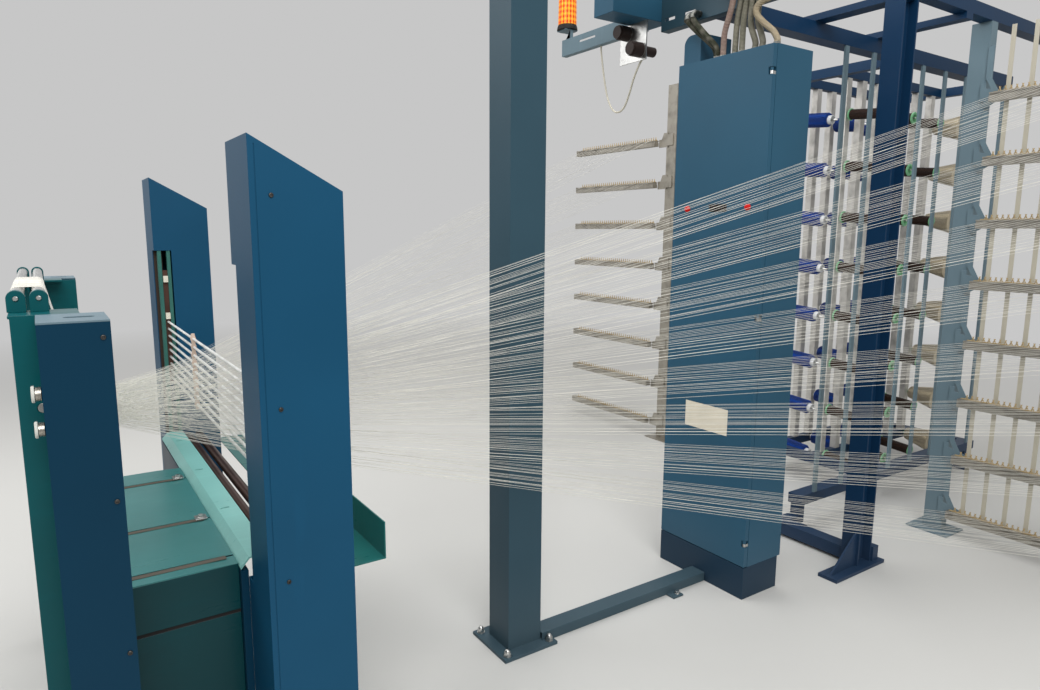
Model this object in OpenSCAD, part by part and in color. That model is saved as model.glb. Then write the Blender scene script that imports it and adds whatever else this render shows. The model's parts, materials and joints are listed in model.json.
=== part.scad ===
// Sectional warping machine: the yarn head, its portal and switch cabinet,
// the two yarn guide towers and one bay of the creel.
// X runs along the yarn from the head to the creel, Y across the machine, Z up.
// The origin lies on the floor under the middle of the portal post.

/* [Portal] */
// Width of the portal post along the yarn
post_w = 146; // [120:1:170]
// Depth of the portal post across the machine
post_d = 135; // [110:1:150]
// Wall of the square tube of the post
post_wall = 5; // [3:0.5:8]
// Height of the underside of the overhead beam
portal_h = 2560; // [2545:5:2600]
// Side of the square overhead beam
beam_s = 100; // [80:1:120]
// Height of the cross channel below the overhead beam
channel_h = 100; // [80:1:120]
// Height of the overhead box
overhead_box_h = 196; // [160:1:240]
// Length of the overhead box across the machine
overhead_box_l = 400; // [340:1:440]
// Depth of the overhead box along the yarn
overhead_box_d = 340; // [280:1:380]
// Height of the dome of the signal lamp
lamp_h = 160; // [120:1:180]
// Side of the base plate of the post
foot_plate_s = 236; // [230:1:250]
// Thickness of the base plate
foot_plate_t = 12; // [8:1:16]
// Distance of an anchor bolt from each centre line of the post
anchor_pitch = 95; // [92:1:98]
// Diameter of an anchor bolt
anchor_d = 16; // [12:1:18]

/* [Switch cabinet] */
// Distance of the cabinet door from the middle of the post
cab_x = 976; // [900:1:1000]
// Distance of the near side of the cabinet from the middle of the post
cab_near = 287; // [270:1:300]
// Width of the cabinet door
cab_w = 485; // [440:1:520]
// Depth of the cabinet with its door
cab_depth = 246; // [220:1:280]
// Height of the cabinet with its plinth
cab_h = 2273; // [2200:1:2300]
// Height of the plinth
plinth_h = 143; // [100:1:180]
// Depth of the folded door
door_t = 22; // [18:1:26]
// Sheet thickness of the cabinet
cab_sheet = 2; // [1.5:0.5:3]
// Diameter of a hinge pin
hinge_pin_d = 8; // [6:1:10]
// Diameter of a push button
button_d = 26; // [20:1:32]
// Length of the door latch
latch_l = 92; // [70:1:110]

/* [Yarn head] */
// Distance of the middle of the head from the middle of the post, across the machine
head_y = 247; // [200:1:300]
// Clear width between the two tall columns
throat_w = 1298; // [1200:1:1400]
// Distance of the tall columns from the middle of the post, along the yarn
tall_x = 1046; // [1020:1:1060]
// Width of a tall column along the yarn
tall_w = 196; // [170:1:220]
// Depth of a tall column across the machine
tall_d = 193; // [170:1:220]
// Height of a tall column at its peak
tall_h = 1744; // [1700:1:1800]
// Fall of the slanted top of a tall column
tall_fall = 108; // [80:1:140]
// Sheet thickness of the columns
column_sheet = 3; // [2:0.5:4]
// Distance of the short columns from the middle of the post, along the yarn
short_x = 1424; // [1410:1:1440]
// Width of a short column along the yarn
short_w = 120; // [100:1:130]
// Depth of a short column across the machine
short_d = 152; // [130:1:170]
// Height of the short columns and of the side walls
short_h = 1381; // [1360:1:1400]
// Thickness of the top plate of a short column
top_plate_t = 4; // [3:0.5:6]
// Thickness of a side wall
side_wall_t = 12; // [8:1:16]
// Diameter of a clamp knob
knob_d = 33; // [28:1:38]

/* [Deck] */
// Height of the deck
deck_h = 755; // [740:1:765]
// Thickness of a deck plate
deck_t = 4; // [3:0.5:6]
// Length of the lower box across the machine
box_l = 846; // [800:1:900]
// Width of the lower box along the yarn
box_w = 402; // [380:1:402]
// Width of a seal between two deck plates
seal_w = 8; // [6:1:10]
// Width of the top flange of the guide angle
angle_w = 54; // [40:1:58]
// Thickness of the guide angle and of the tray
angle_t = 4; // [3:0.5:6]

/* [Split rods and rollers] */
// Diameter of a split rod
rod_d = 8; // [6:0.5:10]
// Distance from one split rod to the next
rod_pitch = 27.2; // [24:0.1:30]
// Height of the top split rod
rod_top = 1203; // [1190:1:1210]
// Number of split rods
rod_n = 9; // [9:1:9]
// Width of the slot in a tall column
slot_w = 52; // [48:1:54]
// Height of the top end of the slot
slot_top = 1475; // [1460:1:1500]
// Height of the bottom end of the slot
slot_bottom = 720; // [700:1:740]
// Diameter of the tubular guide rollers
guide_roller_d = 30; // [24:1:32]
// Diameter of the delivery rollers
delivery_d = 26; // [22:1:28]
// Diameter of the yarn wound on the take-up roll
wound_d = 84; // [70:1:90]
// Width of the yarn band in the reed
band_w = 400; // [390:1:420]
// Number of gaps in the reed
dent_n = 40; // [40:1:40]
// Thickness of a reed dent
dent_t = 0.7; // [0.5:0.1:1]

/* [Yarn guide towers] */
// Distance of the towers from the middle of the post, along the yarn
tower_x = 2470; // [2440:1:2500]
// Distance of the upright of the right tower from the middle of the post
right_tower_y = 350; // [340:1:370]
// Distance of the upright of the left tower from the middle of the post
left_tower_y = 1669; // [1640:1:1700]
// Length of a guide rail
rail_l = 900; // [850:1:950]
// Height of the top guide rail
rail_top = 2230; // [2210:1:2240]
// Distance from one guide rail to the next
rail_pitch = 297; // [290:1:300]
// Height of a tower
tower_h = 2600; // [2580:1:2700]
// Distance from one comb tooth to the next
tooth_pitch = 24; // [20:1:30]

/* [Creel] */
// Height of the underside of the base beam
creel_base_h = 136; // [120:1:140]
// Height of the base beams and top rails
creel_beam_h = 53; // [45:1:60]
// Height of the underside of the top rail
creel_top_h = 2460; // [2450:1:2470]
// Distance from one creel post to the next
creel_post_pitch = 240; // [220:1:245]
// Number of creel posts
creel_post_n = 8; // [8:1:8]
// Distance from one column of packages to the next
package_pitch = 312; // [300:1:320]
// Diameter of a package peg
peg_d = 12; // [10:1:14]
// Length of a brown bobbin
bobbin_l = 216; // [200:1:220]
// Diameter of the rim of a brown bobbin
bobbin_rim_d = 70; // [64:1:80]
// Diameter of the yarn on a brown bobbin
bobbin_yarn_d = 58; // [50:1:62]
// Diameter of a blue package
blue_d = 86; // [76:1:94]
// Length of a blue package
blue_l = 190; // [170:1:200]
// Diameter of a cone at its base
cone_base_d = 150; // [130:1:160]
// Diameter of a cone at its nose
cone_nose_d = 80; // [70:1:90]
// Length of a cone
cone_l = 190; // [170:1:200]
// Slope of the pegs below level, in degrees
peg_slope = 5; // [3:0.5:7]

/* [Yarns] */
// Diameter of a modelled yarn
yarn_d = 1; // [0.8:0.1:1.1]
// Yarns from each guide rail
yarns_per_rail = 10; // [10:1:10]

/* [Hidden] */

$fn = 48;
fit = 0.3;          // running fit beside a moving piece
seat = 0.3;         // seat of a piece that lies loose
far = 1;
near = -1;

blue = [0.10, 0.30, 0.47];
dark_blue = [0.13, 0.25, 0.34];
cabinet_blue = [0.10, 0.34, 0.53];
teal = [0.10, 0.47, 0.47];
grey_blue = [0.36, 0.45, 0.52];
steel = [0.68, 0.70, 0.70];
cream = [0.85, 0.78, 0.62];

// Portal
post_top = portal_h;
cab_back = cab_x + cab_depth;
cab_far = cab_w - cab_near;
floor_beam_h = 41;
floor_beam_w = 75;
floor_beam_y = -42;
channel_w = 50;
channel_x = cab_x + 64;
channel_near = 330;
channel_far = 384;
channel_back = channel_x + channel_w;
top_rail_h = creel_beam_h + 17;
channel_low = min(portal_h - channel_h, creel_top_h);
channel_high = max(portal_h + beam_s, creel_top_h + top_rail_h);
gear_h = portal_h - channel_h;
gear_far = channel_far + overhead_box_l;

// Cabinet
hinge_x = cab_x + 8;
hinge_y = -cab_near + 8;
hinge_levels = [0.11, 0.535, 0.955];
shell_x = cab_x + door_t + 3;
lip = 18;
button_z = 1658;
button_pitch = 322;
button_mid = -47;
latch_y = -51;
card_y = -43;
card_z = 752;

// Head, with the local Y of each side counted outwards from the middle of the head
inner = throat_w / 2;
slot_x = -tall_x + 34;
rod_x = slot_x;
rod_low = rod_top - (rod_n - 1) * rod_pitch;
side_x = short_x + 43;
side_w = side_x - short_x + short_w;
side_inner = inner - side_wall_t;
wall_face = inner - 5;
knob_in = 99;
knob_shaft_d = 10;
knob_high = short_h - 142;
knob_low = knob_high - 70;
tall_screw_drops = [121, 572, 967];
short_screw_drops = [34, 364, 691];
carrier_w = 17;
guide_w = 13;
slot_in = 40;
strip_w = 30;
carrier_t = 12;
carrier_in = inner + column_sheet + 3;
spacer_y = 130;
reed_x = -1340;
reed_y = 34;
reed_z = 1094;
reed_t = 8;
roller_gap = 40;
front_roller_x = -short_x + 9;
back_roller_x = front_roller_x - roller_gap;
delivery_z = short_h + 28;
take_up_x = -short_x - 1;
take_up_z = short_h - 191;
guide_roller_z = deck_h - 10;
guide_front_x = -970;
guide_back_x = -930;
dent_pitch = band_w / dent_n;
yarn_pitch = band_w / (2 * yarns_per_rail * 8);

// Towers and creel
tiers = 8;
upright_w = 60;
upright_d = 90;
rail_x = tower_x - 62;
rail_w = 44;
rail_t = 26;
comb_t = 8;
bar_pitch = 95;
bar_n = 9;
tower_flange = 60;
tower_hole_in = 35;
tower_hole_d = 14;
right_rail_y = -right_tower_y - upright_d / 2 - 40;
left_rail_y = left_tower_y + upright_d / 2 + 70;
h_post_x = 1660;
h_post_w = 110;
h_post_d = 86;
h_post_y = -399;
side_rail_h = 60;
wing_y = 24;
wing_d = 50;
post_line_x = 1880;
creel_end = post_line_x + (creel_post_n - 1) * creel_post_pitch + 160;
row_a_y = 430;
row_b_y = 730;
row_d = 40;
column_x = 2630;
blue_x = 2590;
tie_w = 50;
tie_h = creel_top_h + channel_h;
cone_x = creel_end - tie_w - cone_base_d / 2 - 8;

function tier_z(i) = rail_top - i * rail_pitch;
function gap_z(i) = rod_top - (i + 0.5) * rod_pitch;

// A block between two corners
module block(a, b) {
    translate(a) cube(b - a);
}

// A bar or tube along Y or X
module bar_y(x, z, a, b, d) {
    translate([x, a, z]) rotate([-90, 0, 0]) cylinder(h = b - a, d = d);
}

module bar_x(y, z, a, b, d) {
    translate([a, y, z]) rotate([0, 90, 0]) cylinder(h = b - a, d = d);
}

// A profile drawn in X and Z, drawn out along Y
module profile_y(points, a, b) {
    translate([0, b, 0]) rotate([90, 0, 0]) linear_extrude(b - a) polygon(points);
}

// A profile drawn in Y and Z, drawn out along X
module profile_x(points, a, b) {
    translate([a, 0, 0]) rotate([90, 0, 90]) linear_extrude(b - a) polygon(points);
}

// Moves what is drawn for the far side of the head to either side
module at_side(side) {
    translate([0, head_y, 0]) mirror([0, side == far ? 0 : 1, 0]) children();
}

module both_sides() {
    for (side = [near, far]) at_side(side) children();
}

// A straight yarn between two points
module strand(a, b) {
    v = b - a;
    length = norm(v);
    translate(a) rotate([0, acos(v[2] / length), atan2(v[1], v[0])])
        cylinder(h = length, d = yarn_d, $fn = 16);
}

// A round hose swept along a list of points
function unit(v) = v / norm(v);
function tangent(p, i) =
    unit(p[min(i + 1, len(p) - 1)] - p[max(i - 1, 0)]);
function ring(p, i, d, sides, flat) =
    let (t = tangent(p, i), u = unit(cross(flat, t)), w = cross(t, u))
    [for (k = [0 : sides - 1])
        let (a = 360 * k / sides) p[i] + d / 2 * (u * cos(a) + w * sin(a))];
function smooth(p, n) = [
    for (i = [0 : len(p) - 2], k = [0 : n - 1])
        let (a = p[max(i - 1, 0)], b = p[i], c = p[i + 1],
             d = p[min(i + 2, len(p) - 1)], t = k / n)
        0.5 * (2 * b + (c - a) * t + (2 * a - 5 * b + 4 * c - d) * t * t
            + (3 * b - a - 3 * c + d) * t * t * t),
    p[len(p) - 1]
];

module hose(route, d, flat, steps = 3) {
    sides = 8;
    p = smooth(route, steps);
    n = len(p);
    points = [for (i = [0 : n - 1]) each ring(p, i, d, sides, flat)];
    walls = [for (i = [0 : n - 2], k = [0 : sides - 1])
        [i * sides + k, (i + 1) * sides + k,
         (i + 1) * sides + (k + 1) % sides, i * sides + (k + 1) % sides]];
    start = [[for (k = [0 : sides - 1]) k]];
    end = [[for (k = [sides - 1 : -1 : 0]) (n - 1) * sides + k]];
    polyhedron(points, concat(walls, start, end));
}

// Portal

module portal_post() {
    color(dark_blue) {
        difference() {
            block([-foot_plate_s / 2, -foot_plate_s / 2, 0],
                  [foot_plate_s / 2, foot_plate_s / 2, foot_plate_t]);
            for (x = [-1, 1], y = [-1, 1])
                translate([x * anchor_pitch, y * anchor_pitch, -1])
                    cylinder(h = foot_plate_t + 2, d = anchor_d + 2);
        }
        difference() {
            block([-post_w / 2, -post_d / 2, foot_plate_t], [post_w / 2, post_d / 2, post_top]);
            block([-post_w / 2 + post_wall, -post_d / 2 + post_wall, foot_plate_t],
                  [post_w / 2 - post_wall, post_d / 2 - post_wall, post_top - 8]);
        }
    }
}

// Studs with a washer, a nut and a domed cap
module anchor_bolts() {
    color(steel)
        for (x = [-1, 1], y = [-1, 1])
            translate([x * anchor_pitch, y * anchor_pitch, 0]) {
                cylinder(h = foot_plate_t + 4, d = anchor_d);
                translate([0, 0, foot_plate_t]) cylinder(h = 3, d = anchor_d * 1.9);
                translate([0, 0, foot_plate_t + 3]) cylinder(h = 13, d = anchor_d * 1.7, $fn = 6);
                translate([0, 0, foot_plate_t + 16]) intersection() {
                    sphere(d = anchor_d * 1.4);
                    cylinder(h = anchor_d, d = anchor_d * 1.5);
                }
            }
}

module overhead_beam() {
    color(dark_blue)
        difference() {
            block([-post_w / 2, -beam_s / 2, portal_h], [channel_x, beam_s / 2, portal_h + beam_s]);
            block([-post_w / 2 + 5, -beam_s / 2 + 5, portal_h + 5],
                  [channel_x - 5, beam_s / 2 - 5, portal_h + beam_s - 5]);
        }
}

// Channel that ends the overhead beam, open towards the creel, with slots in its web
module cross_channel() {
    color(dark_blue)
        difference() {
            block([channel_x, -channel_near, channel_low], [channel_back, channel_far, channel_high]);
            block([channel_x + 5, -channel_near - 1, channel_low + 5],
                  [channel_back + 1, channel_far + 1, channel_high - 5]);
            for (y = [-120, 180, 300])
                block([channel_x - 1, y, portal_h - 60], [channel_x + 6, y + 60, portal_h - 48]);
        }
}

module overhead_box() {
    s = 3;
    low = gear_h + 44;
    high = low + overhead_box_h;
    x0 = channel_back - overhead_box_d;
    color(blue)
        difference() {
            block([x0, channel_far, low], [channel_back, gear_far, high]);
            block([x0 + s, channel_far + s, low + s], [channel_back - s, gear_far - s, high - s]);
        }
}

// Two small motors on a plate under the overhead box
module drive_motors() {
    top = gear_h + 44;
    x = channel_back - 200;
    color([0.16, 0.15, 0.15]) {
        block([x + 66, channel_far + 6, top - 170], [x + 72, channel_far + 180, top]);
        for (place = [[channel_far + 132, top - 37], [channel_far + 44, top - 124]]) {
            bar_x(place[0], place[1], x + 12, x + 66, 66);
            bar_x(place[0], place[1], x, x + 12, 56);
            bar_x(place[0], place[1], x + 72, x + 150, 44);
        }
    }
}

module slotted_arm() {
    low = gear_h + 40;
    a = gear_far;
    b = a + 370;
    color(grey_blue)
        difference() {
            block([channel_back - 34, a, low], [channel_back, b, low + 84]);
            block([channel_back - 30, a - 1, low + 4], [channel_back + 1, b + 1, low + 80]);
            block([channel_back - 35, a + 90, low + 46], [channel_back - 29, a + 220, low + 56]);
        }
    color(grey_blue) {
        block([channel_back - 30, b - 4, low + 4], [channel_back - 4, b, low + 80]);
        block([channel_back - 24, b, low + 60], [channel_back - 4, b + 20, low + 64]);
        block([channel_back - 24, b + 16, low + 64], [channel_back - 4, b + 20, low + 130]);
        block([channel_back - 54, b + 16, low + 130], [channel_back + 26, b + 96, low + 134]);
    }
}

module lamp_base() {
    color([0.12, 0.12, 0.12])
        translate([channel_back - 14, gear_far + 426, gear_h + 174])
            cylinder(h = 26, d1 = 112, d2 = 104);
}

module lamp_dome() {
    crown = 30;
    color([1, 0.45, 0.05])
        translate([channel_back - 14, gear_far + 426, gear_h + 200])
            rotate_extrude() polygon(concat(
                [[0, 0], [50, 0], [47, lamp_h - crown]],
                [for (a = [15 : 15 : 90]) [47 * cos(a), lamp_h - crown + crown * sin(a)]]));
}

// Floor beam from the post to the plinth, an open channel with its flanges down
module floor_beam() {
    x0 = post_w / 2;
    x1 = cab_x;
    color(blue) {
        difference() {
            block([x0, floor_beam_y - floor_beam_w / 2, 0], [x1, floor_beam_y + floor_beam_w / 2, floor_beam_h]);
            block([x0 - 1, floor_beam_y - floor_beam_w / 2 + 5, -1],
                  [x1 + 1, floor_beam_y + floor_beam_w / 2 - 5, floor_beam_h - 5]);
            block([x0 - 1, floor_beam_y - floor_beam_w / 2 - 1, -1],
                  [foot_plate_s / 2 + seat, floor_beam_y + floor_beam_w / 2 + 1, foot_plate_t + seat]);
        }
        block([x1 - 240, floor_beam_y - floor_beam_w / 2 - 44, 0], [x1 - 180, floor_beam_y - floor_beam_w / 2, 8]);
    }
}

module floor_bolts() {
    color(steel)
        for (place = [[cab_x - 198, floor_beam_y - floor_beam_w / 2 - 24, 8]])
            translate(place) {
                cylinder(h = 2, d = 26);
                translate([0, 0, 2]) cylinder(h = 9, d = 20, $fn = 6);
            }
}

// Switch cabinet

// Section of the cable duct on the cabinet top, with one rounded corner
duct_back = 28;
duct_w = 95;
duct_out = 25;
duct_h = 130;
duct_r = 40;
function duct_section(inset) =
    let (y0 = cab_far + duct_out - duct_w + inset, y1 = cab_far + duct_out - inset, z1 = cab_h + duct_h - inset)
    concat([[y0, cab_h + inset], [y1, cab_h + inset]],
        [for (a = [0 : 15 : 90]) [y1 - duct_r * (1 - cos(a)), z1 - duct_r * (1 - sin(a))]],
        [[y0, z1]]);

module cabinet_shell() {
    s = cab_sheet;
    color(cabinet_blue) {
        difference() {
            block([shell_x, -cab_near, plinth_h], [cab_back, cab_far, cab_h]);
            block([shell_x + s, -cab_near + s, plinth_h + s], [cab_back - s, cab_far - s, cab_h - s]);
            block([shell_x - 1, -cab_near + lip, plinth_h + lip], [shell_x + s + 1, cab_far - lip, cab_h - lip]);
        }
        difference() {
            profile_x(duct_section(0), shell_x + duct_back, cab_back);
            profile_x(duct_section(s), shell_x + duct_back + s, cab_back - s);
        }
    }
}

// Folded plinth, flush with the door and set back behind
module cabinet_plinth() {
    s = 3;
    back = cab_back - 18;
    color(cabinet_blue)
        difference() {
            block([cab_x, -cab_near, 0], [back, cab_far, plinth_h]);
            block([cab_x + s, -cab_near + s, -1], [back - s, cab_far - s, plinth_h - s]);
        }
}

function hinge_z(i) = cab_h * hinge_levels[i];
knuckle_h = 26;

// Folded door pan with notches for the hinges, round holes for the buttons
// and a recess for the latch
module cabinet_door() {
    s = cab_sheet;
    low = plinth_h + 4;
    high = cab_h - 3;
    color(cabinet_blue) {
        difference() {
            block([cab_x, -cab_near, low], [cab_x + door_t, cab_far, high]);
            block([cab_x + s, -cab_near + s, low + s], [cab_x + door_t + 1, cab_far - s, high - s]);
            for (i = [0 : 2])
                block([cab_x - 1, -cab_near - 1, hinge_z(i) - knuckle_h / 2 - 1],
                      [cab_x + door_t + 1, -cab_near + 18, hinge_z(i) + knuckle_h / 2 + 1]);
            for (y = [-1, 1])
                bar_x(button_mid + y * button_pitch / 2, button_z, cab_x - 1, cab_x + s + 1, button_d + 2 * fit);
            block([cab_x - 1, latch_y - latch_l / 2 - 3, button_z - 17], [cab_x + s + 1, latch_y + latch_l / 2 + 3, button_z + 17]);
        }
        // latch box behind the recess
        difference() {
            block([cab_x + s, latch_y - latch_l / 2 - 6, button_z - 20], [cab_x + door_t, latch_y + latch_l / 2 + 6, button_z + 20]);
            block([cab_x + s - 1, latch_y - latch_l / 2 - 3, button_z - 17], [cab_x + door_t - s, latch_y + latch_l / 2 + 3, button_z + 17]);
        }
        // button boxes behind the round holes
        for (y = [-1, 1])
            difference() {
                bar_x(button_mid + y * button_pitch / 2, button_z, cab_x + s, cab_x + door_t, button_d + 8);
                bar_x(button_mid + y * button_pitch / 2, button_z, cab_x + s - 1, cab_x + door_t - s, button_d + 2 * fit);
            }
        // hinge leaves that carry the knuckles of the door
        for (i = [0 : 2])
            difference() {
                union() {
                    block([hinge_x - 2, hinge_y, hinge_z(i) + 1], [hinge_x + 2, hinge_y + 14, hinge_z(i) + knuckle_h / 2]);
                    translate([hinge_x, hinge_y, hinge_z(i) + 1]) cylinder(h = knuckle_h / 2 - 1, d = hinge_pin_d + 5);
                    block([hinge_x - 2, hinge_y + 10, hinge_z(i) - knuckle_h / 2 - 6],
                          [hinge_x + 2, hinge_y + 14, hinge_z(i) + knuckle_h / 2 + 6]);
                    block([cab_x + s, hinge_y + 10, hinge_z(i) - knuckle_h / 2 - 6],
                          [hinge_x + 2, hinge_y + 14, hinge_z(i) - knuckle_h / 2 - 1]);
                    block([cab_x + s, hinge_y + 10, hinge_z(i) + knuckle_h / 2 + 1],
                          [hinge_x + 2, hinge_y + 14, hinge_z(i) + knuckle_h / 2 + 6]);
                }
                translate([hinge_x, hinge_y, hinge_z(i) - knuckle_h])
                    cylinder(h = 2 * knuckle_h, d = hinge_pin_d + 2 * fit);
            }
    }
}

// Pins that stand on arms of the shell
module hinge_pins() {
    color(steel)
        for (i = [0 : 2]) {
            translate([hinge_x, hinge_y, hinge_z(i) - knuckle_h / 2]) {
                cylinder(h = knuckle_h / 2, d = hinge_pin_d + 5);
                cylinder(h = knuckle_h - 1, d = hinge_pin_d);
            }
            block([hinge_x, hinge_y - 6, hinge_z(i) - knuckle_h / 2], [shell_x, hinge_y, hinge_z(i) - 1]);
        }
}

// Paddle that swings out of its recess about its lower edge
module door_latch() {
    color([0.08, 0.08, 0.09]) {
        block([cab_x + 2, latch_y - latch_l / 2 + 1, button_z - 10], [cab_x + 6, latch_y + latch_l / 2 - 1, button_z + 14]);
        bar_y(cab_x + 7, button_z - 11, latch_y - latch_l / 2 - 2.7, latch_y + latch_l / 2 + 2.7, 7);
    }
}

module push_button(y) {
    color([0.75, 0.06, 0.05]) {
        bar_x(button_mid + y * button_pitch / 2, button_z, cab_x - 10, cab_x + 12, button_d);
        bar_x(button_mid + y * button_pitch / 2, button_z, cab_x - 13, cab_x - 10, button_d - 5);
    }
}

module left_button() push_button(1);
module right_button() push_button(-1);

module door_card() {
    color([0.93, 0.92, 0.88])
        block([cab_x - 0.8, card_y - 119, card_z - 57], [cab_x, card_y + 119, card_z + 57]);
}

module mounting_plate() {
    x = cab_back - 30;
    color(steel) {
        block([x, -cab_near + 30, plinth_h + 60], [x + 2.5, cab_far - 30, cab_h - 60]);
        for (y = [-cab_near + 60, cab_far - 60], z = [plinth_h + 120, cab_h - 120])
            bar_x(y, z, x + 2.5, cab_back - cab_sheet, 10);
    }
}

// Rows of switching devices on rails, with cable ducts between them
module switchgear() {
    x = cab_back - 30;
    rows = 5;
    pitch = (cab_h - plinth_h - 220) / rows;
    color([0.82, 0.83, 0.80])
        for (r = [0 : rows - 1]) {
            z = plinth_h + 160 + r * pitch;
            block([x - 8, -cab_near + 50, z], [x, cab_far - 50, z + 35]);
            for (k = [0 : 7])
                block([x - 70, -cab_near + 60 + k * 45, z - 30], [x - 8, -cab_near + 60 + k * 45 + 40, z + 65]);
            block([x - 60, -cab_near + 50, z + 130], [x, cab_far - 50, z + 190]);
        }
}

// Conduits from the cabinet top up to the web of the channel, which they enter from the front
conduit_routes = [
    [[1040, 50, 2273.5], [1040, 50, 2286], [1040, 50, 2300], [1034, 60, 2330], [1018, 94, 2368],
     [1004, 132, 2406], [998, 164, 2438], [996, 182, 2462], [1008, 186, 2478], [1018, 186, 2483.5],
     [1028, 186, 2484], [1039.5, 186, 2484]],
    [[1018, 26, 2273.5], [1018, 26, 2286], [1018, 26, 2300], [1014, 34, 2326], [1004, 64, 2362],
     [996, 100, 2402], [992, 130, 2436], [992, 148, 2462], [1004, 152, 2478], [1014, 152, 2483.5],
     [1026, 152, 2484], [1039.5, 152, 2484]],
    [[1022, -2, 2273.5], [1022, -2, 2288], [1022, -2, 2310], [1012, -14, 2370], [1002, -42, 2425],
     [996, -62, 2480], [986, -70, 2545], [990, -72, 2592], [1010, -72, 2618], [1022, -72, 2620],
     [1030, -72, 2620], [1039.5, -72, 2620]],
    [[1024, -62, 2273.5], [1024, -62, 2288], [1024, -62, 2310], [1024, -66, 2404], [1018, -84, 2481],
     [1000, -100, 2545], [1000, -103, 2592], [1012, -103, 2616], [1022, -103, 2620],
     [1030, -103, 2620], [1039.5, -103, 2620]],
    [[1024, -96, 2273.5], [1024, -96, 2288], [1024, -96, 2310], [1024, -98, 2400], [1020, -112, 2476],
     [1002, -129, 2545], [1000, -134, 2592], [1012, -134, 2616], [1022, -134, 2620],
     [1030, -134, 2620], [1039.5, -134, 2620]],
    [[1030, -156, 2273.5], [1030, -156, 2288], [1030, -156, 2310], [1028, -131, 2380], [1024, -135, 2443],
     [1016, -144, 2490], [1002, -159, 2545], [1000, -165, 2592], [1012, -165, 2616], [1022, -165, 2620],
     [1030, -165, 2620], [1039.5, -165, 2620]],
    [[1032, -189, 2273.5], [1032, -189, 2288], [1032, -189, 2310], [1030, -163, 2390], [1026, -167, 2450],
     [1012, -177, 2500], [1002, -190, 2545], [1000, -196, 2592], [1012, -196, 2616], [1022, -196, 2620],
     [1030, -196, 2620], [1039.5, -196, 2620]],
    [[1022, -265, 2273.5], [1022, -265, 2284], [1022, -265, 2296], [1018, -246, 2328], [1008, -205, 2368],
     [1000, -180, 2400], [998, -180, 2426], [998, -206, 2442], [998, -256, 2452], [996, -290, 2484],
     [990, -300, 2530], [992, -300, 2585], [1010, -300, 2616], [1022, -300, 2620],
     [1030, -300, 2620], [1039.5, -300, 2620]]
];
conduit_d = 24;

// Hexagon nut round a conduit, about Z
module conduit_nut() {
    difference() {
        cylinder(h = 12, d = conduit_d + 6, $fn = 6);
        translate([0, 0, -1]) cylinder(h = 14, d = conduit_d + 2 * seat);
    }
}

module supply_cables() {
    color([0.62, 0.60, 0.54])
        for (route = conduit_routes) {
            last = route[len(route) - 1];
            hose(route, conduit_d, [0, 1, 0], 2);
            translate([route[0][0], route[0][1], cab_h]) conduit_nut();
            translate([channel_x, last[1], last[2]]) rotate([0, -90, 0]) conduit_nut();
        }
}

// Cable that sags from the slotted arm to the lower motor
hang_route = [
    [1078, 850, 2499.4], [1078, 848, 2470], [1074, 830, 2400], [1068, 800, 2300],
    [1062, 766, 2220], [1056, 722, 2165], [1048, 672, 2146], [1036, 616, 2160],
    [1016, 560, 2210], [996, 510, 2270], [980, 460, 2320], [974, 430, 2344], [974, 428, 2357.5]
];

module hanging_cable() {
    color([0.80, 0.78, 0.72]) hose(hang_route, 9, [1, 0, 0], 2);
}

// Yarn head

// Folded column with a slanted top and a slot in its inner face
module tall_column(side) {
    s = column_sheet;
    x0 = -tall_x;
    x1 = -tall_x + tall_w;
    a = inner;
    b = inner + tall_d;
    rise = s * sqrt(1 + pow(tall_fall / tall_w, 2));
    color(blue) at_side(side) {
        difference() {
            profile_y([[x0, 10], [x1, 10], [x1, tall_h - tall_fall], [x0, tall_h]], a, b);
            profile_y([[x0 + s, 9], [x1 - s, 9],
                [x1 - s, tall_h - tall_fall + tall_fall * s / tall_w - rise],
                [x0 + s, tall_h - tall_fall * s / tall_w - rise]], a + s, b - s);
            // slot, open at the corner of the column
            block([x0 - 1, a - 1, slot_bottom], [slot_x + slot_w / 2, a + slot_in, slot_top]);
            // seam between the cover and the folded edge
            block([x0 + 12, b - 1.5, 40], [x0 + 14, b + 1, tall_h - 20]);
            for (x = [guide_front_x, guide_back_x])
                bar_y(x, guide_roller_z, a - 1, a + s + 1, 12 + 2 * fit);
        }
        block([x0 - 12, a, 0], [x1 + 12, b + 12, 10]);
    }
}

module near_tall_column() tall_column(near);
module far_tall_column() tall_column(far);

module short_column(side) {
    s = column_sheet;
    color(blue) at_side(side)
        difference() {
            block([-short_x, wall_face, 0], [-short_x + short_w, wall_face + short_d, short_h - top_plate_t]);
            block([-short_x + s, wall_face + s, s], [-short_x + short_w - s, wall_face + short_d - s, short_h]);
            if (side == near)
                for (z = [knob_low, knob_high])
                    bar_x(wall_face + knob_in, z, -short_x - 1, -short_x + s + 1, knob_shaft_d + 2 * fit);
        }
}

module near_short_column() short_column(near);
module far_short_column() short_column(far);

// Loose lids of the short columns, each with an oval hole
module column_top_plates() {
    x = -short_x + short_w / 2;
    y = wall_face + short_d / 2;
    color([0.50, 0.60, 0.66]) both_sides()
        difference() {
            block([-short_x, wall_face, short_h - top_plate_t], [-short_x + short_w, wall_face + short_d, short_h]);
            for (k = [-1, 1])
                translate([x + 12 + k * 14, y, short_h - top_plate_t - 1])
                    cylinder(h = top_plate_t + 2, d = 26);
            block([x - 2, y - 13, short_h - top_plate_t - 1], [x + 26, y + 13, short_h + 1]);
        }
}

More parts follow.
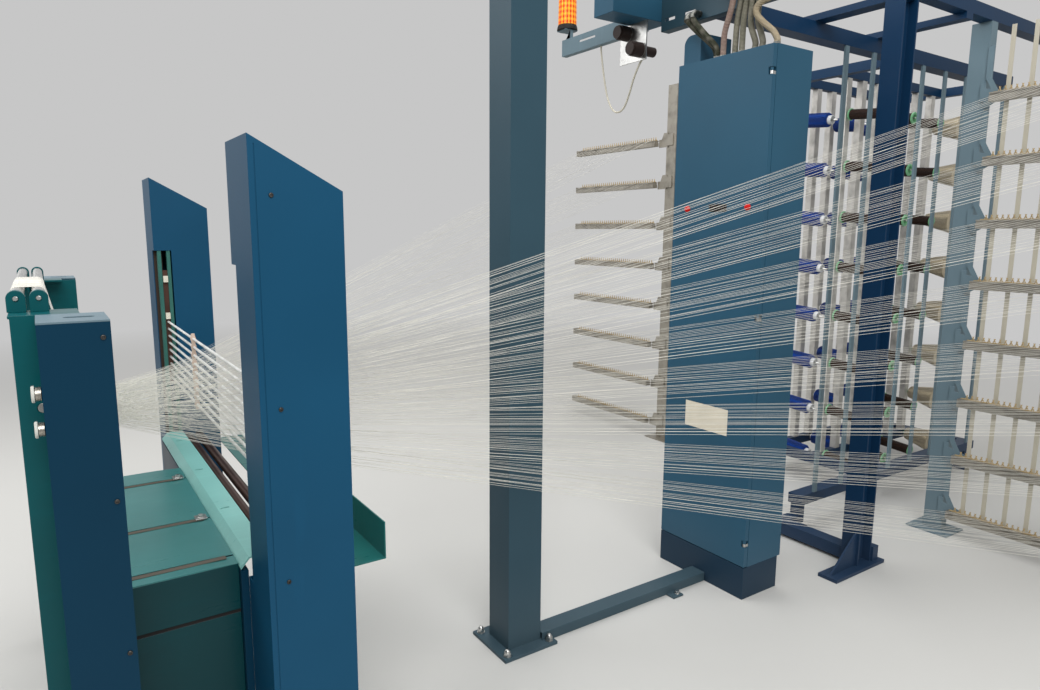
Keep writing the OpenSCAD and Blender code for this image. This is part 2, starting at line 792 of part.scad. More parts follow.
// Side walls with the plates that carry the bearing blocks
module side_walls() {
    a = wall_face - side_wall_t;
    color(teal) both_sides()
        difference() {
            union() {
                block([-side_x, a, 0], [-side_x + side_w, wall_face, short_h - 6]);
                block([-side_x - 3, a - 95, short_h - 6], [-side_x + 120, wall_face, short_h]);
                block([-side_x + 20, a - 95, short_h - 40], [-side_x + 26, a, short_h - 6]);
            }
            bar_y(take_up_x, take_up_z, a - 1, wall_face + 1, 20 + 2 * fit);
        }
}

module cover_screw(x, z, y) {
    bar_y(x, z, y, y + 3, 10);
}

module cover_screws() {
    color(steel) both_sides() {
        for (drop = tall_screw_drops) cover_screw(-tall_x + 43, tall_h - drop, inner + tall_d);
        for (drop = short_screw_drops) cover_screw(-short_x + short_w - 14, short_h - drop, wall_face + short_d);
    }
}

// Quarter turn knob with a turned body, a pale cap and a collar behind the sheet
module clamp_knob(z) {
    y = head_y - wall_face - knob_in;
    face = -short_x;
    color([0.85, 0.85, 0.82]) {
        bar_x(y, z, face - 30, face - 20, knob_d);
        bar_x(y, z, face - 20, face - seat, knob_d - 5);
        bar_x(y, z, face - seat, face + 16, knob_shaft_d);
        bar_x(y, z, face + column_sheet + seat, face + column_sheet + 8, knob_shaft_d + 8);
    }
}

module upper_knob() clamp_knob(knob_high);
module lower_knob() clamp_knob(knob_low);

// Lower box with its two side panels, shut by the deck plates
box_x = -tall_x - 19 - box_w;
box_near = head_y - wall_face + side_wall_t + seat;

module lower_box() {
    s = 4;
    x1 = box_x + box_w;
    y1 = box_near + box_l;
    top = deck_h - deck_t;
    color([0.05, 0.36, 0.38]) {
        difference() {
            block([box_x, box_near, 0], [x1, y1, top]);
            block([box_x + s, box_near + s, s], [x1 - s, y1 - s, top + 1]);
            for (y = [box_near - 1, y1 - 2])
                block([box_x - 1, y, 626], [x1 + 1, y + 3, 634]);
        }
        for (y = [1 : 2])
            block([box_x + s, box_near + y * box_l / 3 - 10, top - 40], [x1 - s, box_near + y * box_l / 3 + 10, top]);
    }
}

// Deck plates, each with a soft fold beside the guide angle
deck_seams = [54, 339, 732];
fold_w = 75;
fold_fall = 3;
function deck_start(i) = box_near + (i == 0 ? 0 : deck_seams[i - 1] + seal_w / 2);
function deck_end(i) = box_near + (i == 3 ? box_l : deck_seams[i] - seal_w / 2);

module deck_plates() {
    x1 = box_x + box_w;
    color(teal)
        for (i = [0 : 3])
            profile_y([[box_x, deck_h - deck_t], [x1, deck_h - deck_t], [x1, deck_h - fold_fall],
                [x1 - fold_w, deck_h], [box_x, deck_h]], deck_start(i), deck_end(i));
}

module deck_seals() {
    color([0.12, 0.10, 0.09])
        for (y = deck_seams)
            block([box_x, box_near + y - seal_w / 2, deck_h - deck_t],
                  [box_x + box_w - 20, box_near + y + seal_w / 2, deck_h - 1.5]);
}

// Clamp brackets on the deck, each with a hex bolt
module deck_clamps() {
    inset = 40;
    fall = fold_fall * (fold_w - inset) / fold_w;
    color(steel)
        for (y = [deck_seams[1], deck_seams[2]])
            translate([box_x + box_w - inset, box_near + y, deck_h - fall + seat]) {
                block([0, -17, 0], [30, 17, 5]);
                translate([15, 0, 5]) cylinder(h = 7, d = 15, $fn = 6);
            }
}

// Guide angle between the tall columns
module guide_angle() {
    x1 = -tall_x + 2 + angle_w;
    z = deck_h + 14;
    color(teal)
        difference() {
            profile_y([[-tall_x + 2, z], [x1, z], [x1, z - angle_t], [-tall_x + 4, z - angle_t],
                [-tall_x - 17, deck_h - 14], [-tall_x - 18.6, deck_h - 9]],
                head_y - inner + seat, head_y + inner - seat);
            for (y = [-40, 355, 750]) {
                for (k = [-1, 1])
                    translate([-tall_x + 22 + 9 * k, y, z - angle_t - 1]) cylinder(h = angle_t + 2, d = 7);
                block([-tall_x + 13, y - 3.5, z - angle_t - 1], [-tall_x + 31, y + 3.5, z + 1]);
            }
        }
}

// Tray behind the tall columns, a floor with one upright edge
module yarn_tray() {
    x0 = -tall_x + tall_w;
    x1 = x0 + 138;
    reach = inner + 54;
    color(teal)
        difference() {
            block([x0, head_y - reach, 700], [x1, head_y + reach, 802]);
            block([x0 - 1, head_y - reach - 1, 700 + angle_t], [x1 - angle_t, head_y + reach + 1, 803]);
        }
}

// Rails inside the columns on which the rod carriers slide, and a strip behind the open corner
module slot_guides() {
    h0 = slot_bottom - 30;
    h1 = slot_top + 30;
    y0 = inner + column_sheet;
    x0 = -tall_x + column_sheet;
    color(teal) both_sides()
        for (k = [-1, 1])
            translate([slot_x + k * (carrier_w / 2 + 0.5 + guide_w / 2), 0, 0])
                block([-guide_w / 2, y0, h0], [guide_w / 2, y0 + 22, h1]);
    color([0.35, 0.22, 0.15]) both_sides()
        block([x0, inner + slot_in + 1, h0], [x0 + strip_w, inner + slot_in + 4, h1]);
}

carrier_low = rod_low - 25;
carrier_high = rod_top + 197;

// Carrier plates with one bore for each rod end
module rod_carriers() {
    color([0.35, 0.22, 0.15]) both_sides()
        difference() {
            block([slot_x - carrier_w / 2, carrier_in, carrier_low],
                  [slot_x + carrier_w / 2, carrier_in + carrier_t, carrier_high]);
            for (i = [0 : rod_n - 1])
                bar_y(rod_x, rod_top - i * rod_pitch, carrier_in - 1, carrier_in + carrier_t + 1, rod_d + 0.2);
        }
}

// Steel rods with the pale strip that keeps them apart
module split_rods() {
    half = carrier_in + carrier_t;
    color(steel)
        for (i = [0 : rod_n - 1])
            bar_y(rod_x, rod_top - i * rod_pitch, head_y - half, head_y + half, rod_d);
    color(cream)
        difference() {
            block([rod_x - 7, head_y + spacer_y - 6, rod_low - 16], [rod_x + 7, head_y + spacer_y + 6, rod_top + 16]);
            for (i = [0 : rod_n - 1])
                bar_y(rod_x, rod_top - i * rod_pitch, head_y + spacer_y - 7, head_y + spacer_y + 7, rod_d + 0.2);
        }
}

// Pale slide blocks that show in the slots
module slide_blocks() {
    color([0.92, 0.90, 0.84]) both_sides()
        for (z = [rod_top + 23, rod_top + 164])
            block([slot_x - 8, inner - 8, z - 12], [slot_x + 8, carrier_in, z + 12]);
}

module roller(x, z, d, journal, body_half, journal_half) {
    bar_y(x, z, head_y - body_half, head_y + body_half, d);
    bar_y(x, z, head_y - journal_half, head_y + journal_half, journal);
}

module front_guide_roller() {
    color([0.24, 0.15, 0.12])
        roller(guide_front_x, guide_roller_z, guide_roller_d, 12, inner - 4, inner + 14);
}

module back_guide_roller() {
    color([0.24, 0.15, 0.12])
        roller(guide_back_x, guide_roller_z, guide_roller_d, 12, inner - 4, inner + 14);
}

// Bearing blocks with round heads on the side walls
block_y = 84;
block_t = 24;

module bearing_blocks() {
    y0 = wall_face - block_y - block_t / 2;
    color(teal) both_sides()
        for (x = [front_roller_x, back_roller_x])
            difference() {
                union() {
                    block([x - 17, y0, short_h], [x + 17, y0 + block_t, delivery_z]);
                    bar_y(x, delivery_z, y0, y0 + block_t, 34);
                }
                bar_y(x, delivery_z, y0 - 1, y0 + block_t + 1, 10 + 2 * fit);
            }
}

module delivery_roller(x) {
    y = wall_face - block_y;
    color(steel) roller(x, delivery_z, delivery_d, 10, y - block_t / 2 - 2, y + block_t / 2 + 3);
}

module front_delivery_roller() delivery_roller(front_roller_x);
module back_delivery_roller() delivery_roller(back_roller_x);

// Take-up tube with two flanges beside the wound yarn
flange_gap = 4;

module take_up_roll() {
    color(steel) {
        roller(take_up_x, take_up_z, 50, 20, wall_face - side_wall_t - 2, wall_face - 1);
        for (k = [-1, 1])
            translate([0, reed_y + k * (band_w / 2 + flange_gap + 5), 0])
                bar_y(take_up_x, take_up_z, -3, 3, wound_d + 26);
    }
}

module wound_yarn() {
    color([0.90, 0.87, 0.78])
        difference() {
            bar_y(take_up_x, take_up_z, reed_y - band_w / 2 - 2, reed_y + band_w / 2 + 2, wound_d);
            bar_y(take_up_x, take_up_z, reed_y - band_w, reed_y + band_w, 50 + 2 * seat);
        }
}

// Reed on its cross bar, with one gap between each pair of dents
module reed() {
    low = reed_z - 46;
    high = reed_z + 46;
    half = band_w / 2;
    color(steel) {
        difference() {
            block([reed_x - reed_t / 2, reed_y - half - 16, low - 14], [reed_x + reed_t / 2, reed_y + half + 16, high + 14]);
            for (i = [0 : dent_n - 1])
                block([reed_x - reed_t, reed_y - half + i * dent_pitch + dent_t / 2, low],
                      [reed_x + reed_t, reed_y - half + (i + 1) * dent_pitch - dent_t / 2, high]);
        }
        block([reed_x - 14, head_y - wall_face + side_wall_t, low - 38],
              [reed_x + 14, head_y + wall_face - side_wall_t, low - 14]);
    }
}

// Closed band of yarn from the reed over the delivery rollers to the take-up roll
wrap_r = delivery_d / 2 + seat + yarn_d / 2;
rise_angle = atan2(delivery_z - reed_z, (front_roller_x + wrap_r) - (reed_x - reed_t));
band_start = [reed_x - reed_t / 2 - 4, reed_z];
band_path = concat(
    [band_start],
    [for (a = [-12 : 12 : 90]) [front_roller_x + wrap_r * cos(a), delivery_z + wrap_r * sin(a)]],
    [for (a = [90 : 12 : 180]) [back_roller_x + wrap_r * cos(a), delivery_z + wrap_r * sin(a)]],
    [[take_up_x - wound_d / 2 - seat - yarn_d / 2, take_up_z + 20]]
);
function path_normal(i) =
    let (t = unit(band_path[min(i + 1, len(band_path) - 1)] - band_path[max(i - 1, 0)]))
    [-t[1], t[0]];

module yarn_band() {
    n = len(band_path);
    left = [for (i = [0 : n - 1]) band_path[i] + yarn_d / 2 * path_normal(i)];
    right = [for (i = [n - 1 : -1 : 0]) band_path[i] - yarn_d / 2 * path_normal(i)];
    color([0.90, 0.87, 0.78]) {
        profile_y(concat(left, right), reed_y - band_w / 2 + 1, reed_y + band_w / 2 - 1);
        for (i = [0 : dent_n - 1])
            block([band_start[0] - 1, reed_y - band_w / 2 + i * dent_pitch + 0.9, reed_z - yarn_d / 2],
                  [reed_x + reed_t / 2 + 2, reed_y - band_w / 2 + (i + 1) * dent_pitch - 0.9, reed_z + yarn_d / 2]);
    }
}

// Yarns of one tower: from each guide rail, through its gap between the rods, to the reed
reed_face = reed_x + reed_t / 2 + 2.6;

module yarn_fan(rail_a, rail_b, rod_a, rod_b, first) {
    n = yarns_per_rail;
    color([0.92, 0.90, 0.84])
        for (j = [0 : n - 1], i = [0 : tiers - 1]) {
            f = j / (n - 1);
            rail = [rail_x - comb_t / 2 - 0.6, rail_a + f * (rail_b - rail_a), tier_z(i)];
            rod = [rod_x, rod_a + f * (rod_b - rod_a), gap_z(i)];
            slot = (first + j) * tiers + i + 0.5;
            dent = [reed_face, reed_y - band_w / 2 + slot * yarn_pitch, reed_z];
            strand(rail, rod + 0.4 * unit(rail - rod));
            strand(rod + 0.4 * unit(dent - rod), dent);
        }
}

right_rod_y = head_y - inner + 86;
split_y = head_y - inner + 336;
left_rod_y = head_y - inner + 386;
far_rod_y = head_y + inner - 112;

module right_yarns() {
    yarn_fan(right_rail_y - rail_l + 52, right_rail_y - 100, right_rod_y, split_y, 0);
}

module left_yarns() {
    yarn_fan(left_rail_y + 40, left_rail_y + rail_l - 40, left_rod_y, far_rod_y, yarns_per_rail);
}

// Yarn guide towers

// Bent strip and gusset that hold one rail of the right tower
module rail_strip(z) {
    y = -right_tower_y - upright_d / 2;
    x = rail_x + rail_w / 2;
    profile_x([[y, z + 66], [y - 26, z + 66], [y - 62, z], [y - 36, z]], x, x + 4);
    block([x, y - 26, z + 60], [x + 4, y, z + 210]);
    profile_x([[y, z + 20], [y, z - 70], [y - 20, z - 70], [y - 90, z - rail_t], [y - 90, z - 4], [y - 60, z + 4]], x, x + 4);
}

// Foot plate with four holes for floor bolts
module tower_foot(y) {
    half_x = upright_w / 2 + tower_flange;
    half_y = upright_d / 2 + tower_flange;
    difference() {
        block([tower_x - half_x, y - half_y, 0], [tower_x + half_x, y + half_y, 8]);
        for (i = [-1, 1], j = [-1, 1])
            translate([tower_x + i * (upright_w / 2 + tower_hole_in), y + j * (upright_d / 2 + tower_hole_in), -1])
                cylinder(h = 10, d = tower_hole_d);
    }
}

// The right tower stands under the side rail of the creel
module right_tower() {
    x0 = tower_x - upright_w / 2;
    x1 = tower_x + upright_w / 2;
    y0 = -right_tower_y - upright_d / 2;
    y1 = -right_tower_y + upright_d / 2;
    color(grey_blue) {
        difference() {
            block([x0, y0, 8], [x1, y1, tie_h]);
            block([x0 + 3, y0 + 3, 9], [x1 - 3, y1 - 3, tie_h - 3]);
        }
        tower_foot(-right_tower_y);
        for (i = [0 : tiers - 1]) {
            rail_strip(tier_z(i));
            block([rail_x + rail_w / 2, y0 - 4, tier_z(i) - 40], [x0, y0 + 20, tier_z(i) + 40]);
        }
    }
}

module left_tower() {
    x0 = tower_x - upright_w / 2;
    x1 = tower_x + upright_w / 2;
    y0 = left_tower_y - upright_d / 2;
    y1 = left_tower_y + upright_d / 2;
    color(steel) {
        difference() {
            block([x0, y0, 8], [x1, y1, tower_h]);
            block([x0 + 3, y0 + 3, 9], [x1 - 3, y1 - 3, tower_h - 3]);
        }
        tower_foot(left_tower_y);
        for (i = [0 : tiers - 1]) {
            z = tier_z(i);
            profile_x([[y1 - 20, z + 40], [y1 - 20, z - 60], [y1 + 66, z - 60], [y1 + 66, z - 4],
                [y1 + 40, z - 4], [y1 + 20, z + 40]], rail_x + rail_w / 2, rail_x + rail_w / 2 + 4);
            block([rail_x + rail_w / 2 + 4, y0 + 20, z - 50], [x0, y1 - 20, z + 30]);
            block([rail_x + rail_w / 2, y0 + 20, z - 50], [rail_x + rail_w / 2 + 4, y1 - 20, z + 30]);
        }
    }
}

// One guide rail: an extruded profile with a groove on each side, and a cap on its free end
module guide_rail(a, b, z) {
    x0 = rail_x - rail_w / 2;
    x1 = rail_x + rail_w / 2;
    top = z - 9;
    profile_y([[x0, top], [x1, top], [x1, top - 8], [x1 - 6, top - 8], [x1 - 6, top - 16], [x1, top - 16],
        [x1, top - rail_t], [x0, top - rail_t], [x0, top - 16], [x0 + 6, top - 16],
        [x0 + 6, top - 8], [x0, top - 8]], a, b);
}

module guide_rails() {
    color([0.62, 0.63, 0.60]) {
        for (i = [0 : tiers - 1]) {
            guide_rail(right_rail_y - rail_l, right_rail_y, tier_z(i));
            guide_rail(left_rail_y, left_rail_y + rail_l, tier_z(i));
        }
        // flat bars behind the rails of the right tower
        for (k = [0 : bar_n - 1])
            translate([rail_x + rail_w / 2 + seat, right_rail_y - 61 - k * bar_pitch, 0])
                block([0, -10, tier_z(tiers - 1) - 60], [4, 10, rail_top + 290]);
    }
    color([0.15, 0.15, 0.16])
        for (i = [0 : tiers - 1], end = [right_rail_y - rail_l - 8, left_rail_y + rail_l])
            block([rail_x - rail_w / 2 - 1, end, tier_z(i) - rail_t - 10],
                  [rail_x + rail_w / 2 + 1, end + 8, tier_z(i) - 6]);
}

// A toothed strip on a rail
module comb(a, z) {
    n = floor((rail_l - 20) / tooth_pitch);
    low = z - 9;
    points = concat(
        [[a + 10, low]],
        [for (k = [0 : n - 1], c = [[0, 4], [0.3, 16], [0.5, 16], [0.8, 4]])
            [a + 10 + (k + c[0]) * tooth_pitch, low + c[1]]],
        [[a + 10 + n * tooth_pitch, low + 4], [a + 10 + n * tooth_pitch, low]]);
    profile_x(points, rail_x - comb_t / 2, rail_x + comb_t / 2);
}

module rail_combs() {
    color(cream)
        for (i = [0 : tiers - 1], a = [right_rail_y - rail_l, left_rail_y])
            comb(a, tier_z(i));
}

// Creel

// H-section post with its long foot plate, gusset and levelling foot
module h_post(top) {
    x0 = h_post_x;
    x1 = h_post_x + h_post_w;
    y0 = h_post_y;
    y1 = h_post_y + h_post_d;
    mid = (y0 + y1) / 2;
    block([x0, y0, 16], [x0 + 9, y1, top]);
    block([x1 - 9, y0, 16], [x1, y1, top]);
    block([x0 + 8, mid - 4, 16], [x1 - 8, mid + 4, top]);
    block([x0 - 210, y0 - 30, 0], [x1 + 70, y0 + 64, 16]);
    profile_y([[x0 - 190, 16], [x0, 16], [x0, 180]], y0 + 12, y0 + 22);
    block([x1, y0 - 10, 16], [x1 + 44, y0 + 40, 86]);
}

// Open frame of welded beams: base, top rail and cross ties
module creel_frame() {
    low = creel_base_h;
    low_top = creel_base_h + creel_beam_h;
    high = creel_top_h;
    high_top = creel_top_h + top_rail_h;
    color(blue) {
        h_post(tie_h);
        // base beam on its two levelling feet
        block([post_line_x - 54, wing_y, low], [creel_end, wing_y + 80, low_top]);
        for (x = [post_line_x - 30, creel_end - 60]) {
            block([x - 20, wing_y + 15, 30], [x + 30, wing_y + 65, low]);
            block([x - 35, wing_y, 0], [x + 45, wing_y + 80, 12]);
            translate([x + 5, wing_y + 40, 12]) cylinder(h = 18, d = 24);
        }
        // floor tie from the post to the first levelling foot
        block([h_post_x + 18, h_post_y + h_post_d / 2, 16], [h_post_x + 92, wing_y + 80, 76]);
        block([h_post_x + 92, wing_y + 10, 30], [post_line_x - 50, wing_y + 70, 76]);
        // top rail, side rail and the ties between them
        block([channel_back, wing_y, high], [creel_end, wing_y + 80, high_top]);
        block([h_post_x, h_post_y + 4, tie_h], [creel_end, h_post_y + 64, tie_h + side_rail_h]);
        block([2190, h_post_y + 4, high_top], [2250, wing_y + 80, tie_h]);
        block([h_post_x + 10, h_post_y + 4, high_top], [h_post_x + 90, wing_y + 80, tie_h]);
        // rows that carry the package columns
        for (row = [row_a_y, row_b_y], z = [low, high])
            block([column_x - 120, row, z], [creel_end, row + row_d, z + creel_beam_h]);
        for (x = [column_x - 120, creel_end - tie_w], z = [low, high]) {
            block([x, wing_y + 80, z], [x + tie_w, row_a_y, z + creel_beam_h]);
            block([x, row_a_y + row_d, z], [x + tie_w, row_b_y, z + creel_beam_h]);
            block([x, row_b_y, 0], [x + tie_w, row_b_y + row_d, low]);
        }
    }
}

module creel_posts() {
    low = creel_base_h + creel_beam_h;
    color(grey_blue)
        for (k = [0 : creel_post_n - 1])
            difference() {
                block([post_line_x + k * creel_post_pitch, wing_y, low],
                      [post_line_x + k * creel_post_pitch + 80, wing_y + wing_d, creel_top_h]);
                block([post_line_x + k * creel_post_pitch + 4, wing_y + 4, low - 1],
                      [post_line_x + k * creel_post_pitch + 76, wing_y + wing_d - 4, creel_top_h + 1]);
            }
    color(steel) {
        for (k = [0 : 2], shift = [0, package_pitch / 2])
            block([column_x - 22 + k * package_pitch + shift, row_a_y, low],
                  [column_x + 22 + k * package_pitch + shift, row_a_y + row_d, creel_top_h]);
        block([cone_x - 22, row_a_y, low], [cone_x + 22, row_a_y + row_d, creel_top_h]);
        for (k = [0 : 2], shift = [0, package_pitch / 2])
            block([blue_x + 18 + k * package_pitch + shift, row_b_y, low],
                  [blue_x + 62 + k * package_pitch + shift, row_b_y + row_d, creel_top_h]);
    }
}

// Package pegs and what is pushed on them
module on_peg(x, y, z) {
    back = peg_d / 2 * sin(peg_slope) + seat;
    translate([x, y - back, z]) rotate([90 + peg_slope, 0, 0]) children();
}

module peg(length) {
    cylinder(h = length, d = peg_d);
}

module bobbin() {
    rotate_extrude() {
        translate([peg_d / 2 + seat, 0]) square([bobbin_rim_d / 2 - peg_d / 2 - seat, 9]);
        translate([peg_d / 2 + seat, 9]) square([bobbin_yarn_d / 2 - peg_d / 2 - seat, bobbin_l - 18]);
        translate([peg_d / 2 + seat, bobbin_l - 9]) square([bobbin_rim_d / 2 - peg_d / 2 - seat, 9]);
    }
}

module blue_package() {
    r = peg_d / 2 + seat;
    rotate_extrude()
        polygon([[r, 0], [25, 0], [25, 12], [blue_d / 2 - 2, 14], [blue_d / 2, 18],
            [blue_d / 2, blue_l - 30], [blue_d / 2 - 3, blue_l - 26], [24, blue_l - 26], [24, blue_l], [r, blue_l]]);
}

module yarn_cone() {
    r = peg_d / 2 + seat;
    rotate_extrude()
        polygon([[r, 0], [20, 0], [20, 8], [cone_nose_d / 2 - 4, 9], [cone_nose_d / 2, 13],
            [cone_base_d / 2, cone_l - 14], [cone_base_d / 2 - 5, cone_l - 8], [26, cone_l - 8], [26, cone_l], [r, cone_l]]);
}

// Packages with their pegs, as separate solids
module packages() {
    start = 14;
    for (i = [0 : tiers - 1]) {
        z = tier_z(i) + 22;
        for (k = [0 : 2]) {
            on_peg(column_x + k * package_pitch, row_a_y, z) {
                color(steel) peg(bobbin_l + start + 8);
                color([0.27, 0.17, 0.12]) translate([0, 0, start]) bobbin();
            }
            on_peg(blue_x + 40 + k * package_pitch, row_b_y, z) {
                color(steel) peg(blue_l + start + 8);
                color([0.10, 0.33, 0.72]) translate([0, 0, start]) blue_package();
            }
        }
        on_peg(cone_x, row_a_y, z) {
            color(steel) peg(cone_l + start + 8);
            color(cream) translate([0, 0, start]) yarn_cone();
        }
    }
}

portal_post();
anchor_bolts();
overhead_beam();
cross_channel();
overhead_box();
drive_motors();
slotted_arm();
lamp_base();
lamp_dome();
floor_beam();
floor_bolts();
cabinet_shell();
cabinet_plinth();
cabinet_door();
hinge_pins();
door_latch();
left_button();
right_button();
door_card();
mounting_plate();
switchgear();
supply_cables();
hanging_cable();
near_tall_column();
far_tall_column();
near_short_column();
far_short_column();
column_top_plates();
side_walls();
cover_screws();
upper_knob();
lower_knob();
lower_box();
deck_plates();
deck_seals();
deck_clamps();
guide_angle();
yarn_tray();
slot_guides();
rod_carriers();
split_rods();
slide_blocks();
front_guide_roller();
back_guide_roller();
bearing_blocks();
front_delivery_roller();
back_delivery_roller();
take_up_roll();
wound_yarn();
reed();
yarn_band();
right_yarns();
left_yarns();
right_tower();
left_tower();
guide_rails();
rail_combs();
creel_frame();
creel_posts();
packages();
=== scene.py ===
"""Finishes, yarns, packages and fittings of the warping machine, laid out as an add-on."""

import json
import math
import random

import bpy
from mathutils import Matrix, Vector

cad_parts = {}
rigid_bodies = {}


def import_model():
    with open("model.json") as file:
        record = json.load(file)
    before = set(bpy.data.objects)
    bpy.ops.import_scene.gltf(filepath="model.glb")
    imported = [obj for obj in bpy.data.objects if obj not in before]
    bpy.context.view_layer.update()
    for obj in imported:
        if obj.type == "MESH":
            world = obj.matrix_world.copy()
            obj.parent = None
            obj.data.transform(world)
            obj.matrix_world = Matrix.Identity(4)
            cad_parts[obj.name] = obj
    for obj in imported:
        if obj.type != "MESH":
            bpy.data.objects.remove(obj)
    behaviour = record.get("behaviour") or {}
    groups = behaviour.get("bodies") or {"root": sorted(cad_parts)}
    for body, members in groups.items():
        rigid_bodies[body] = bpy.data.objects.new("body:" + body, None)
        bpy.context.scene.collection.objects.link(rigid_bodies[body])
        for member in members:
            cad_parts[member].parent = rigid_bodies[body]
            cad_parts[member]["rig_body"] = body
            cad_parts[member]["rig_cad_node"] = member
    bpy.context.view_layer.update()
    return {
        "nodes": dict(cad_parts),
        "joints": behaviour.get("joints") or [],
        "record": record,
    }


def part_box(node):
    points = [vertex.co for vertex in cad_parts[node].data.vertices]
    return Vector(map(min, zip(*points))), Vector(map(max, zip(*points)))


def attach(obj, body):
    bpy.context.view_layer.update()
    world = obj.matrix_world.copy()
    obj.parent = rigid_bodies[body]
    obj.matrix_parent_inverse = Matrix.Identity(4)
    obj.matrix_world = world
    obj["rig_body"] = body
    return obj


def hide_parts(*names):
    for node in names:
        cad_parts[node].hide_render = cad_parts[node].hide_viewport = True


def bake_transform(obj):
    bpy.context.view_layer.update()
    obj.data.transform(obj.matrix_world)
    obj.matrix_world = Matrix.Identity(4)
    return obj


bl_info = {
    "name": "Warping machine finish",
    "version": (1, 0, 0),
    "blender": (4, 5, 0),
    "location": "View3D > Sidebar > Warping",
    "description": "Dresses the warping machine with its paint, yarns, packages and fittings",
    "category": "Object",
}

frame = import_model()

MM = 0.001
TIERS = 8
WELD = 2e-5
FLAT_ANGLE = math.radians(0.5)
EDGE_ANGLE = math.radians(35)


# Sizes taken from the frame


def middle(node):
    low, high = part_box(node)
    return (low + high) / 2


def span(node, axis):
    low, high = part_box(node)
    return high[axis] - low[axis]


def joint_place(name):
    return next(row["pos_m"] for row in frame["joints"] if row["name"] == name)


HEAD_Y = joint_place("take_up_spin")[1]
RODS_LOW, RODS_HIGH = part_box("split_rods")
COMB_LOW, COMB_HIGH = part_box("rail_combs")


# Properties that a user would change. A finish without a colour of its own takes the one of its name.


def paint(name, text, colour):
    return bpy.props.FloatVectorProperty(
        name=name, description=text, subtype="COLOR_GAMMA", size=3, min=0, max=1, default=colour
    )


def length(name, text, value, low=0.0, high=10.0):
    return bpy.props.FloatProperty(
        name=name, description=text, subtype="DISTANCE", unit="LENGTH", default=value, min=low, max=high
    )


class WarpingColours(bpy.types.PropertyGroup):
    post_paint: paint("Portal", "Paint of the portal post and its beams", (0.19, 0.29, 0.34))
    machine_blue: paint("Machine blue", "Powder coat of the tall columns", (0.06, 0.28, 0.40))
    short_column_blue: paint("Short column blue", "Powder coat of the short columns", (0.0, 0.19, 0.28))
    cabinet_blue: paint("Cabinet blue", "Powder coat of the switch cabinet", (0.16, 0.32, 0.41))
    # The plinth's darker blue is painted shade: the foot of the cabinet stands in shade.
    plinth_blue: paint("Plinth blue", "Powder coat of the cabinet's plinth", (0.01, 0.17, 0.26))
    creel_blue: paint("Creel blue", "Paint of the creel frame", (0.06, 0.19, 0.31))
    grey_blue: paint("Grey blue", "Paint of the plates, the arm and the towers", (0.40, 0.48, 0.52))
    teal_enamel: paint("Teal", "Enamel of the deck", (0.24, 0.47, 0.47))
    # The guide angle's paler teal is a painted highlight on the teal enamel.
    angle_teal: paint("Angle teal", "Enamel of the guide angle", (0.50, 0.72, 0.70))
    tray_teal: paint("Tray teal", "Enamel of the tray behind the columns", (0.12, 0.40, 0.39))
    wall_teal: paint("Wall teal", "Enamel of the side walls and bearing blocks", (0.0, 0.31, 0.33))
    rail_teal: paint("Rail teal", "Slide rails in the slots", (0.22, 0.42, 0.39))
    box_teal: paint("Box teal", "Enamel of the lower box", (0.0, 0.22, 0.24))
    steel: paint("Steel", "Bright steel", (0.80, 0.80, 0.79))
    aluminium: paint("Aluminium", "Rails and uprights", (0.68, 0.66, 0.62))
    comb_ceramic: paint("Comb cream", "Ceramic pins of the combs", (0.68, 0.60, 0.45))
    # Black plastic of the latch and the lamp base; on the seal cores and the lower box's seam it is painted
    # shade.
    dark_plastic: paint("Black plastic", "Motors, seals, latch and lamp base", (0.13, 0.12, 0.12))
    seal_rubber: paint("Seal", "Rubber lips between the deck plates", (0.36, 0.34, 0.31))
    iron: paint("Browned iron", "Guide rollers and rod carriers", (0.32, 0.23, 0.20))
    strip_brown: paint("Strip brown", "Guard strips in the slots", (0.26, 0.21, 0.18))
    amber_lens: paint("Amber", "Dome of the signal lamp", (1.0, 0.47, 0.05))
    button_red: paint("Red", "Push buttons", (0.80, 0.08, 0.06))
    card_paper: paint("Card", "Blank card on the door", (0.86, 0.83, 0.76))
    ecru_yarn: paint("Yarn", "Ecru yarn", (0.88, 0.87, 0.83))
    brown_wound: paint("Brown yarn", "Yarn on the small bobbins", (0.22, 0.14, 0.10))
    blue_wound: paint("Blue yarn", "Yarn on the back row", (0.04, 0.26, 0.62))
    cream_wound: paint("Cone yarn", "Yarn on the cones", (0.86, 0.80, 0.68))
    rim_green: paint("Rim green", "Rims and hubs of the bobbins", (0.50, 0.74, 0.56))
    conduit_grey: paint("Grey conduit", "Sheath of the grey conduits", (0.52, 0.51, 0.45))
    conduit_olive: paint("Olive conduit", "Sheath of the two dark conduits", (0.24, 0.25, 0.19))
    conduit_rose: paint("Rose conduit", "Sheath of the rose conduit", (0.64, 0.54, 0.50))
    conduit_beige: paint("Beige conduit", "Sheath of the looped conduit", (0.72, 0.66, 0.55))
    fitting_zinc: paint("Fitting zinc", "Elbows and nuts of the conduits", (0.45, 0.45, 0.43))
    cable_pale: paint("Pale cable", "Sheath of the hanging cable", (0.80, 0.78, 0.72))
    studio_floor: paint("Floor", "Studio floor", (0.78, 0.78, 0.77))
    backdrop: paint("Backdrop", "Studio backdrop", (0.78, 0.78, 0.78))


class WarpingSizes(bpy.types.PropertyGroup):
    yarn: length("Yarn", "Thickness of a yarn", 1.4 * MM, 0.2 * MM, 3 * MM)
    yarns_per_rail: bpy.props.IntProperty(
        name="Yarns per rail", description="Yarns that leave each guide rail", default=19, min=2, max=100
    )
    sheet_edge: length("Sheet edge", "Radius of a folded sheet's outer edge", 1.3 * MM, 0, 5 * MM)
    beam_edge: length("Beam edge", "Radius of a beam's edge", 2.0 * MM, 0, 10 * MM)
    pin: length("Comb pin", "Thickness of a ceramic pin", 5.5 * MM, 1 * MM, 8 * MM)
    pin_pitch: length("Pin pitch", "Distance from one comb pin to the next", 24 * MM, 6 * MM, 40 * MM)


def colours():
    return bpy.context.scene.warping_colours


def sizes():
    return bpy.context.scene.warping_sizes


# Materials


